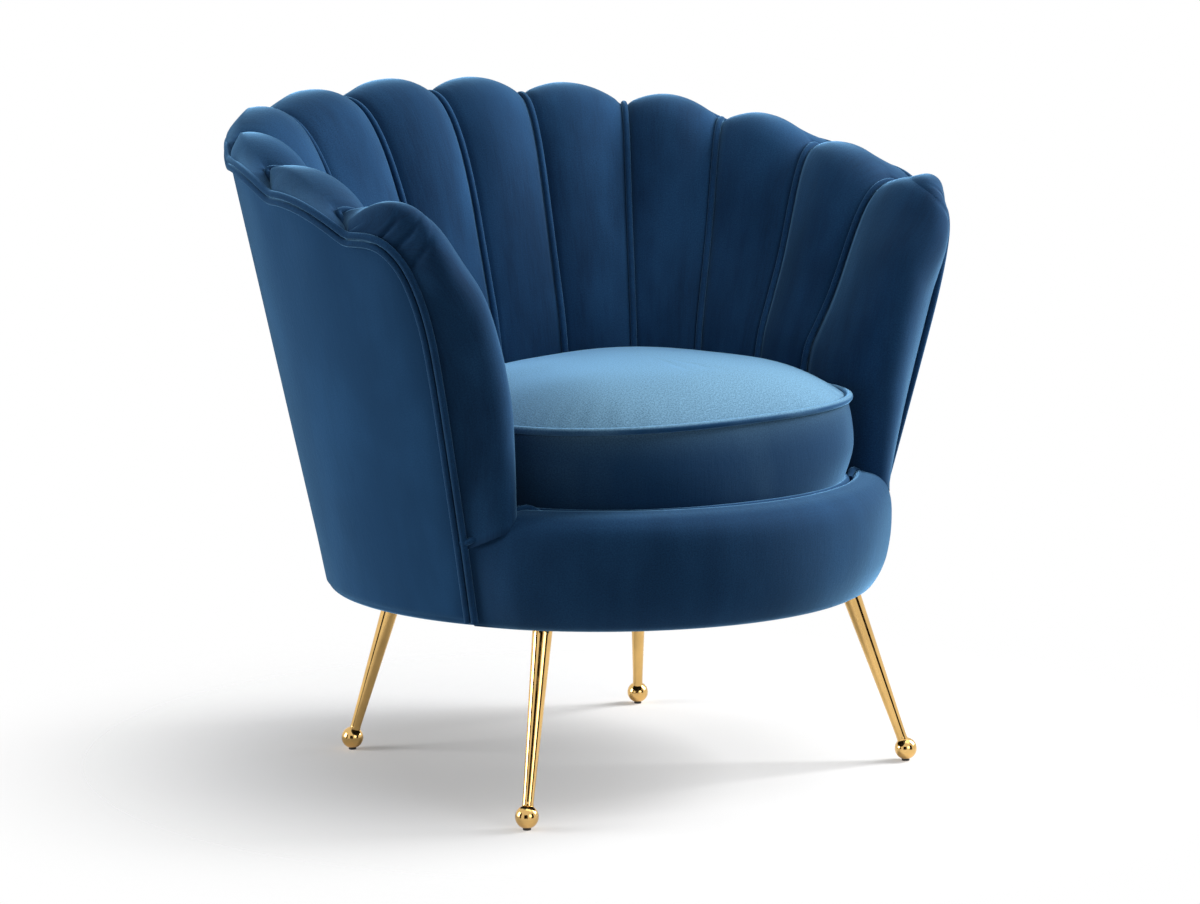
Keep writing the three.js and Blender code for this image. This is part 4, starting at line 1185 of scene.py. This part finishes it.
class CHAIR_OT_front_border(bpy.types.Operator):
    """The padded border under the cushion, from arm to arm, and the cords where the arms stand on it"""
    bl_idname = "scallop_chair.front_border"
    bl_label = "Front border"

    def execute(self, context):
        skin = Skin()
        for share in spread(0, 1, BORDER_STEPS, 0.4):
            angle = border_angle(share)
            turn = math.radians(angle) * FOLD_UV + BORDER_UV_START
            top, full = border_top(share)
            outer, uvs = [], []
            for up in spread(0, 1, BORDER_FACE_STEPS, 0.55):
                height = lerp(BASE_BOTTOM, top, up)
                slow = uneven(polar(WAVE_RADIUS, angle, height), BORDER_WAVE_SIZE, 9.3)
                wave = slow * BORDER_WAVE * math.sin(math.pi * up) * full
                outer.append(polar(border_radius(share, up) + wave, angle, height))
                uvs.append((turn, height * MM))
            reach = border_radius(share, 1)
            for step in spread(0, 1, BORDER_TOP_STEPS)[1:]:
                lip = BORDER_LIP * math.sin(math.pi * min(step * 3, 1))
                dip = BORDER_DIP * full * ramp(step, 0.12, 0.62) - lip
                outer.append(polar(lerp(reach, BORDER_INNER, step), angle, top - dip))
                uvs.append((turn, (top + step * BORDER_UV_DEPTH) * MM))
            inner = [
                polar(BORDER_INNER, angle, BORDER_LEDGE), polar(BORDER_CLEAR, angle, BORDER_LEDGE),
                polar(BORDER_CLEAR, angle, BASE_BOTTOM + 1),
            ]
            while len(inner) < len(outer):
                inner.append(inner[-1] - Vector((0, 0, SPARE_STEP)))
            skin.add(outer, inner[::-1], uvs)
        piece = skin.piece("padded_front_border", "border", PADDED_SHARP)
        mend(piece.data, BORDER_MERGE)
        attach(piece, "chair")
        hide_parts("front_border")
        for name, side in SIDES.items():
            path = []
            for part in spread(0, 1, FOOT_CORD_STEPS):
                share = part * FOOT_CORD_LENGTH
                start, end = border_radius(share, 1) + 2, BORDER_INNER + FOOT_CORD_INSET
                reach = lerp(start, end, smooth(part * 1.1 - 0.1))
                height = border_top(share)[0] + FOOT_CORD_RISE - FOOT_CORD_SINK * ramp(part, 0.75, 1)
                path.append(to_frame(polar(reach, border_angle(share), height), side))
            radius = context.scene.chair_sizes.seam_welt
            cord = make_cords(f"arm_foot_welt_{name}", [path], radius, finish_of("welt"))
            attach(cord, "chair")
        return {"FINISHED"}


# Seat

CUSHION = {"half_width": 235, "front": 284, "back": 171, "middle": 95, "bottom": 318, "welt_bottom": 325.5}
CUSHION_LEAN = 9
CUSHION_FLOOR = (0.05, 0.95, 12)
CUSHION_TOP = (0.985, 0.04, 34, 0.2)
CUSHION_SIDE_STEPS = 18
CUSHION_GAP = 0.2
CUSHION_FLOOR_INSET = 13
CUSHION_EDGE_INSET = 10
CUSHION_EDGE_RISE = 1.5
CUSHION_SIDE_TUCK = 8.5
CUSHION_SIDE_SWELL = 7.5
CUSHION_SIDE_POWER = 0.6
CUSHION_TOP_INSET = 8
CUSHION_TOP_POWER = 3.2
PIPING_INSET = 4.2
PIPING_STEPS = 300
HELD_SHARE = 0.6
PUFF_FRAMES = 16
PUFF_PRESSURE = 2.2
PUFF_LIMIT = 0.009
RUCKLE_HEIGHT = 0.0006
RUCKLE_REACH = 0.03
RUCKLE_COUNT = 47
SOFT_WAVE = 0.0022
SOFT_WAVE_SIZE = 95
DECK = {
    "half_width": 226, "front": 262, "back": 176, "middle": 43, "bottom": 301, "top": 317.5, "power": 2.15,
}
OVAL_STEPS = 176
DECK_STEPS = 96
DECK_FLOOR = (0.06, 0.97, 8)
DECK_TOP = (0.97, 0.05, 20)
DECK_EDGE_STEPS = 10
DECK_GAP = 0.4
DECK_INSET = 6
DECK_ROUND = 5
DECK_HALF_EDGE = 8
DECK_RIPPLE = 1.6


def oval_ring(oval, inset, height, scale=1.0, steps=OVAL_STEPS):
    ring = []
    for i in range(steps):
        turn = 2 * math.pi * i / steps
        across, along = math.cos(turn), math.sin(turn)
        reach = (oval["front"] - oval["middle"] if along < 0 else oval["back"] + oval["middle"]) - inset
        x = (oval["half_width"] - inset) * math.copysign(abs(across) ** (2 / oval["power"]), across)
        y = reach * math.copysign(abs(along) ** (2 / oval["power"]), along)
        ring.append(Vector((x * scale, y * scale - oval["middle"], height)))
    return ring


def cushion_ring(inset, height, scale=1.0, steps=OVAL_STEPS):
    """A ring of the cushion: its front leans back a little and its right side sits slightly higher."""
    up = clamp((height - CUSHION["welt_bottom"]) / (CUSHION_WELT_HEIGHT - CUSHION["welt_bottom"]))
    oval = dict(CUSHION, front=CUSHION["front"] - CUSHION_LEAN * up, power=lerp(2.2, 2.45, smooth(up * 2)))
    ring = oval_ring(oval, inset, height, scale, steps)
    for point in ring:
        point.z += SEAT_TILT * up * point.x
    return ring


def ring_faces(rings, count):
    faces = []
    for i in range(rings - 1):
        for j in range(count):
            k = (j + 1) % count
            faces.append((i * count + j, i * count + k, (i + 1) * count + k, (i + 1) * count + j))
    for j in range(count):
        k = (j + 1) % count
        faces.append((k, j, rings * count))
        faces.append(((rings - 1) * count + j, (rings - 1) * count + k, rings * count + 1))
    return faces


CLOTH = {
    "quality": 6, "use_pressure": True, "vertex_group_mass": "held", "tension_stiffness": 25,
    "compression_stiffness": 25, "bending_stiffness": 0.8, "air_damping": 3,
}


def puff(piece, held, frames, pressure, cap):
    """Cloth with air in it: held vertices stay, the rest moves no further than cap, in metres."""
    group = piece.vertex_groups.new(name="held")
    for index, weight in held.items():
        group.add([index], weight, "REPLACE")
    before = [v.co.copy() for v in piece.data.vertices]
    modifier = piece.modifiers.new("Cloth", "CLOTH")
    settings = modifier.settings
    settings.effector_weights.gravity = 0
    for key, value in CLOTH.items():
        setattr(settings, key, value)
    settings.uniform_pressure_force = pressure
    modifier.collision_settings.use_collision = False
    modifier.point_cache.frame_start, modifier.point_cache.frame_end = 1, frames
    scene = bpy.context.scene
    for number in range(1, frames + 1):
        scene.frame_set(number)
    shown = piece.evaluated_get(bpy.context.evaluated_depsgraph_get())
    after = [v.co.copy() for v in shown.data.vertices]
    piece.modifiers.remove(modifier)
    piece.vertex_groups.clear()
    for vertex, old, new in zip(piece.data.vertices, before, after):
        move = new - old
        if move.length > cap:
            move *= cap / move.length
        vertex.co = old + move
    scene.frame_set(1)


class CHAIR_OT_seat_cushion(bpy.types.Operator):
    """The loose seat cushion, crowned and boxed, with its two welts"""
    bl_idname = "scallop_chair.seat_cushion"
    bl_label = "Seat cushion"

    def execute(self, context):
        sizes = context.scene.chair_sizes
        crown = sizes.cushion_crown * METRE
        floor = CUSHION["bottom"] + CUSHION_GAP
        rings = [cushion_ring(CUSHION_FLOOR_INSET, floor, scale) for scale in spread(*CUSHION_FLOOR)]
        rings.append(cushion_ring(CUSHION_EDGE_INSET, CUSHION["bottom"] + CUSHION_EDGE_RISE))
        first_seam = len(rings)
        for share in spread(0, 1, CUSHION_SIDE_STEPS, 0.3):
            height = lerp(CUSHION["welt_bottom"], CUSHION_WELT_HEIGHT, share)
            full = math.sin(math.pi * share) ** CUSHION_SIDE_POWER
            rings.append(cushion_ring(CUSHION_SIDE_TUCK - CUSHION_SIDE_SWELL * full, height))
        last_seam = len(rings) - 1
        for scale in spread(*CUSHION_TOP):
            height = CUSHION_WELT_HEIGHT + crown * (1 - scale ** CUSHION_TOP_POWER)
            rings.append(cushion_ring(CUSHION_TOP_INSET, height, scale))
        points = [to_frame(p) for p in flat(rings)]
        uvs = [(p.x, p.y) if not first_seam <= i // OVAL_STEPS <= last_seam
               else (math.atan2(p.x, -p.y - 0.1) * 0.25, p.z) for i, p in enumerate(points)]
        for height in (floor, CUSHION_WELT_HEIGHT + crown):
            points.append(to_frame(Vector((0, -CUSHION["middle"], height))))
            uvs.append((0, 0))
        faces = ring_faces(len(rings), OVAL_STEPS)
        piece = make_piece("velvet_seat_cushion", points, faces, finish_of("seat"), uvs, CUSHION_SHARP)
        held = {}
        for i in range(len(points)):
            ring = i // OVAL_STEPS
            if ring <= first_seam or ring == last_seam or i == len(points) - 2:
                held[i] = 1.0
            elif abs(ring - last_seam) == 1:
                held[i] = HELD_SHARE
        puff(piece, held, PUFF_FRAMES, PUFF_PRESSURE, PUFF_LIMIT)
        seam_height = CUSHION_WELT_HEIGHT * MM
        for vertex in piece.data.vertices:
            p = vertex.co
            if p.z > seam_height + MM:
                edge = clamp(1 - (p.z - seam_height) / RUCKLE_REACH)
                around = math.atan2(p.x, -(p.y - BASE_Y) - CUSHION["middle"] * MM)
                p.z += RUCKLE_HEIGHT * edge * math.sin(around * RUCKLE_COUNT + 3 * math.sin(around * 5))
                p.z += SOFT_WAVE * (1 - edge) * uneven(Vector((p.x, p.y, 0)) * METRE, SOFT_WAVE_SIZE, 2.2)
        piece.data.update()
        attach(piece, "seat_cushion")
        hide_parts("seat_cushion")
        for name, height in (("top", CUSHION_WELT_HEIGHT), ("bottom", CUSHION["welt_bottom"])):
            ring = cushion_ring(PIPING_INSET, height, 1.0, PIPING_STEPS)
            cord = make_cords(
                f"cushion_piping_{name}", [[to_frame(p) for p in ring]], sizes.cushion_welt,
                finish_of("seat welt" if name == "top" else "welt"), True)
            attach(cord, "seat_cushion")
            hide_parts(f"cushion_welt_{name}")
        return {"FINISHED"}


class CHAIR_OT_seat_deck(bpy.types.Operator):
    """The cloth-covered deck pad that the cushion lies on"""
    bl_idname = "scallop_chair.seat_deck"
    bl_label = "Seat deck"

    def execute(self, context):
        middle = (DECK["bottom"] + DECK["top"]) / 2
        top = DECK["top"] - DECK_GAP
        rings = []
        for scale in spread(*DECK_FLOOR):
            rings.append(oval_ring(DECK, DECK_ROUND, DECK["bottom"], scale, DECK_STEPS))
        for turn in spread(-90, 90, DECK_EDGE_STEPS):
            height = middle + DECK_HALF_EDGE * math.sin(math.radians(turn))
            inset = DECK_INSET - DECK_ROUND * math.cos(math.radians(turn))
            rings.append(oval_ring(DECK, inset, height, 1.0, DECK_STEPS))
        for scale in spread(*DECK_TOP):
            dip = DECK_RIPPLE * math.sin(math.pi * scale) * abs(math.sin(scale * 9))
            rings.append(oval_ring(DECK, DECK_INSET, top - dip, scale, DECK_STEPS))
        ends = [Vector((0, -DECK["middle"], height)) for height in (DECK["bottom"], top)]
        points = [to_frame(p) for p in flat(rings) + ends]
        faces = ring_faces(len(rings), DECK_STEPS)
        piece = make_piece("covered_deck_pad", points, faces, finish_of("deck"), None, PADDED_SHARP)
        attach(piece, "chair")
        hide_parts("seat_deck_pad")
        return {"FINISHED"}


# Legs

LEG_PLACES = {
    "front": ((265.045, -230.885), (212.585, -187.575)),
    "back": ((207.095, 193.98), (172.02, 147.01)),
}
BALL_RADIUS = 12.6
BALL_HEIGHT = 13.9
BALL_ARC = (27, 176, 26)
LEG_CUT = 205.7
LEG_FOOT = ((8.6, 4.2), (9.4, 5.6), (11.5, 6.3), (13.5, 5.95), (16, 5.9), (30, 6.2))
LEG_CONE_START = 60
LEG_CONE_END = 4
LEG_CONE_STEPS = 8
LEG_GROWTH = 4.8
LEG_TOP = 11.0
TURNED_STEPS = 40


def lathe(start, direction, profile, level=None):
    """A turned body: rings of (distance, radius) along a line, closed at both ends."""
    across = Vector((direction.z, 0, -direction.x)).normalized()
    beside = direction.cross(across)
    rings = []
    for i, (distance, radius) in enumerate(profile):
        ring = []
        for j in range(TURNED_STEPS):
            turn = 2 * math.pi * j / TURNED_STEPS
            point = start + direction * distance
            point += across * radius * math.cos(turn) + beside * radius * math.sin(turn)
            if level is not None and i >= len(profile) - 2:
                point += direction * ((level - point.z) / direction.z)
            ring.append(point)
        rings.append(ring)
    ends = [sum(ring, Vector()) / len(ring) for ring in (rings[0], rings[-1])]
    return [to_frame(p) for p in flat(rings) + ends], ring_faces(len(rings), TURNED_STEPS)


class CHAIR_OT_legs(bpy.types.Operator):
    """Four slim splayed brass legs, each on a ball foot with a small glide"""
    bl_idname = "scallop_chair.legs"
    bl_label = "Brass legs"

    def execute(self, context):
        brass = finish_of("brass")
        for end, (foot, head) in LEG_PLACES.items():
            for name, side in SIDES.items():
                start = Vector((foot[0] * side, foot[1], BALL_HEIGHT))
                direction = (Vector((head[0] * side, head[1], BASE_BOTTOM)) - start).normalized()
                length = (LEG_CUT - start.z) / direction.z
                last, waist = LEG_FOOT[-1]
                profile = list(LEG_FOOT)
                for distance in spread(LEG_CONE_START, length - LEG_CONE_END, LEG_CONE_STEPS):
                    profile.append((distance, waist + LEG_GROWTH * (distance - last) / (length - last)))
                profile += [(length, LEG_TOP), (length, LEG_TOP - 2)]
                points, faces = lathe(start, direction, profile, LEG_CUT)
                leg = make_piece(f"brass_leg_{end}_{name}", points, faces, brass, None, METAL_SHARP)
                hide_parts(f"leg_{end}_{name}")
                turns = [math.radians(turn) for turn in spread(*BALL_ARC)]
                arc = [(-math.cos(turn) * BALL_RADIUS, math.sin(turn) * BALL_RADIUS) for turn in turns]
                points, faces = lathe(start, Vector((0, 0, 1)), arc)
                ball = make_piece(f"brass_ball_{end}_{name}", points, faces, brass, None, METAL_SHARP)
                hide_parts(f"ball_foot_{end}_{name}")
                for piece in (leg, ball):
                    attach(piece, "chair")
        return {"FINISHED"}


# Inner frame

def both(*names):
    return [f"{name}_{side}" for name in names for side in SIDES]


class CHAIR_OT_inner_frame(bpy.types.Operator):
    """Finishes of the frame inside the padding, of the underside and of the glides"""
    bl_idname = "scallop_chair.inner_frame"
    bl_label = "Inner frame"

    def execute(self, context):
        kinds = {
            "plywood": ["base_board", "top_rail", "rib_back", *both("rib_rear")],
            "upright plywood": ["border_panel", *both("inner_panel", "outer_panel", "rib_side")],
            "beech": [
                "seat_rail_front", "seat_rail_back",
                *both("arm_post", "corner_block_front", "corner_block_back")],
            "beech along y": both("seat_rail"),
            "webbing": [f"webbing_strap_{place}" for place in ("front", "middle", "back", "lengthwise")],
            "lining": ["dust_cover"],
            "nylon": both("foot_glide_front", "foot_glide_back"),
        }
        for kind, names in kinds.items():
            for name in names:
                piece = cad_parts[name]
                if not piece.material_slots:
                    raise RuntimeError(f"{name} has no material slot")
                piece.material_slots[0].material = finish_of(kind)
        return {"FINISHED"}


# Stage

STAGE_AIM = (0, 0, 0.4)
LAMPS = (
    ("Top light", "top_light", (0.5, -0.4, 2.6), (2.2, 2.2)),
    ("Right light", "right_light", (2.4, -0.9, 1.75), (1.2, 1.8)),
    ("Front light", "front_light", (-0.2, -3.2, 1.1), (1.2, 1.2)),
    ("Left light", "left_light", (-2.1, 1.2, 0.8), (1.0, 1.2)),
)
CARDS = (
    ("dark_card_front", (-3.5, -3.5, 1.0), (3.0, 3.2)),
    ("dark_card_left", (-3.6, 0.6, 1.0), (1.3, 3.0)),
    ("dark_card_right", (1.2, -3.8, 1.0), (2.0, 3.0)),
)
FLOOR_RADIUS = 4.0
FLOOR_STEPS = 96
CAMERA_PLACE = (-2.3641, -3.1551, 0.9184)
CAMERA_TURN = (90 - 8.2, 0, -36.89)
CAMERA_LENS = 105.75
CAMERA_SENSOR = 36
CAMERA_REACH = 50


def make_lamp(name, place, size, power):
    data = bpy.data.lights.new(name, "AREA")
    data.shape = "RECTANGLE"
    data.size, data.size_y = size
    data.energy = power
    lamp = link(name, data)
    lamp.location = place
    lamp.rotation_euler = (Vector(STAGE_AIM) - Vector(place)).to_track_quat("-Z", "Y").to_euler()


def make_card(name, place, size, material):
    """A dark upright card that only polished metal mirrors."""
    mesh = bpy.data.meshes.new(name)
    x, y = -size[0] / 2, -size[1] / 2
    mesh.from_pydata([(x, y, 0), (-x, y, 0), (-x, -y, 0), (x, -y, 0)], [], [(0, 1, 2, 3)])
    mesh.materials.append(material)
    card = link(name, mesh)
    card.location = place
    card.rotation_euler = (Vector((0, 0, place[2])) - Vector(place)).to_track_quat("Z", "Y").to_euler()
    card.visible_camera = False
    card.visible_diffuse = False
    card.visible_transmission = False
    card.visible_shadow = False


def floor_material(colour, white):
    """Pale floor that fades out to the white background away from the chair."""
    material, tree, shader = new_material(
        "Studio floor", Roughness=1.0, Specular_IOR_Level=0.0, Base_Color=rgba(colour))
    place = coordinates(tree)
    distance = node(tree, "ShaderNodeVectorMath", {0: place}, operation="LENGTH").outputs["Value"]
    fade = ramp_between(tree, distance, 0.2, 0.78)
    clear = tree.nodes.new("ShaderNodeBsdfTransparent")
    plain = node(tree, "ShaderNodeEmission", {"Color": (1, 1, 1, 1), "Strength": 1.0})
    seen = tree.nodes.new("ShaderNodeLightPath").outputs["Is Camera Ray"]
    lifted = node(tree, "ShaderNodeMixShader", {
        0: times(tree, seen, white), 1: shader.outputs[0], 2: plain.outputs[0]})
    mixed = node(tree, "ShaderNodeMixShader", {0: fade, 1: lifted.outputs[0], 2: clear.outputs[0]})
    tree.links.new(mixed.outputs[0], tree.nodes["Material Output"].inputs["Surface"])
    return material


def studio_world(ambient):
    world = bpy.data.worlds.new("Studio")
    bpy.context.scene.world = world
    world.use_nodes = True
    tree = world.node_tree
    tree.nodes.clear()
    rays = tree.nodes.new("ShaderNodeLightPath")
    seen = math_node(tree, "MAXIMUM", rays.outputs["Is Camera Ray"], rays.outputs["Is Glossy Ray"])
    seen = math_node(tree, "MAXIMUM", seen, rays.outputs["Is Transmission Ray"])
    light = node(tree, "ShaderNodeBackground", {"Color": (1, 1, 1, 1), "Strength": ambient})
    white = node(tree, "ShaderNodeBackground", {"Color": (1, 1, 1, 1), "Strength": 1.0})
    mixed = node(tree, "ShaderNodeMixShader", {0: seen, 1: light.outputs[0], 2: white.outputs[0]})
    outlet = tree.nodes.new("ShaderNodeOutputWorld")
    tree.links.new(mixed.outputs[0], outlet.inputs["Surface"])


class CHAIR_OT_stage(bpy.types.Operator):
    """Pale floor, soft lamps, white background and the camera"""
    bl_idname = "scallop_chair.stage"
    bl_label = "Stage"

    def execute(self, context):
        scene = context.scene
        stage = scene.chair_stage
        scene.view_settings.view_transform = "Standard"
        studio_world(stage.ambient)
        made = bmesh.new()
        bmesh.ops.create_circle(made, cap_ends=True, segments=FLOOR_STEPS, radius=FLOOR_RADIUS)
        mesh = bpy.data.meshes.new("studio_floor")
        made.to_mesh(mesh)
        made.free()
        mesh.materials.append(floor_material(stage.floor, stage.floor_white))
        floor = link("studio_floor", mesh)
        for name, setting, place, size in LAMPS:
            make_lamp(name, place, size, getattr(stage, setting))
        dark, _, _ = new_material(
            "Dark card", Base_Color=(0.02, 0.012, 0.006, 1), Roughness=1.0, Specular_IOR_Level=0.0)
        for name, place, size in CARDS:
            make_card(name, place, size, dark)
        camera = link("Camera", bpy.data.cameras.new("Camera"))
        camera.location = Vector(CAMERA_PLACE) + Vector((0, BASE_Y, 0))
        camera.rotation_euler = [math.radians(turn) for turn in CAMERA_TURN]
        camera.data.lens = CAMERA_LENS
        camera.data.sensor_width = CAMERA_SENSOR
        camera.data.clip_end = CAMERA_REACH
        scene.camera = camera
        return {"FINISHED"}


STEPS = (
    CHAIR_OT_stage, CHAIR_OT_channels, CHAIR_OT_seam_welts, CHAIR_OT_edge_welts, CHAIR_OT_outer_cover,
    CHAIR_OT_front_border, CHAIR_OT_seat_cushion, CHAIR_OT_seat_deck, CHAIR_OT_legs, CHAIR_OT_inner_frame,
)


class CHAIR_PT_panel(bpy.types.Panel):
    """The chair's pieces, sizes and colours"""
    bl_idname = "CHAIR_PT_panel"
    bl_label = "Scallop back chair"
    bl_space_type = "VIEW_3D"
    bl_region_type = "UI"
    bl_category = "Scallop chair"

    def draw(self, context):
        for step in STEPS:
            self.layout.operator(step.bl_idname)
        for settings in (context.scene.chair_sizes, context.scene.chair_colours, context.scene.chair_stage):
            box = self.layout.box()
            for name in settings.bl_rna.properties.keys():
                if name not in {"rna_type", "name"}:
                    box.prop(settings, name)


SETTINGS = {"chair_sizes": ChairSizes, "chair_colours": ChairColours, "chair_stage": StageSettings}


def register():
    for kind in (*SETTINGS.values(), *STEPS, CHAIR_PT_panel):
        bpy.utils.register_class(kind)
    for name, kind in SETTINGS.items():
        setattr(bpy.types.Scene, name, bpy.props.PointerProperty(type=kind))


def unregister():
    for name in SETTINGS:
        delattr(bpy.types.Scene, name)
    for kind in (CHAIR_PT_panel, *reversed(STEPS), *reversed(list(SETTINGS.values()))):
        bpy.utils.unregister_class(kind)


def main():
    register()
    for step in STEPS:
        group, name = step.bl_idname.split(".")
        getattr(getattr(bpy.ops, group), name)()


if __name__ == "__main__":
    main()
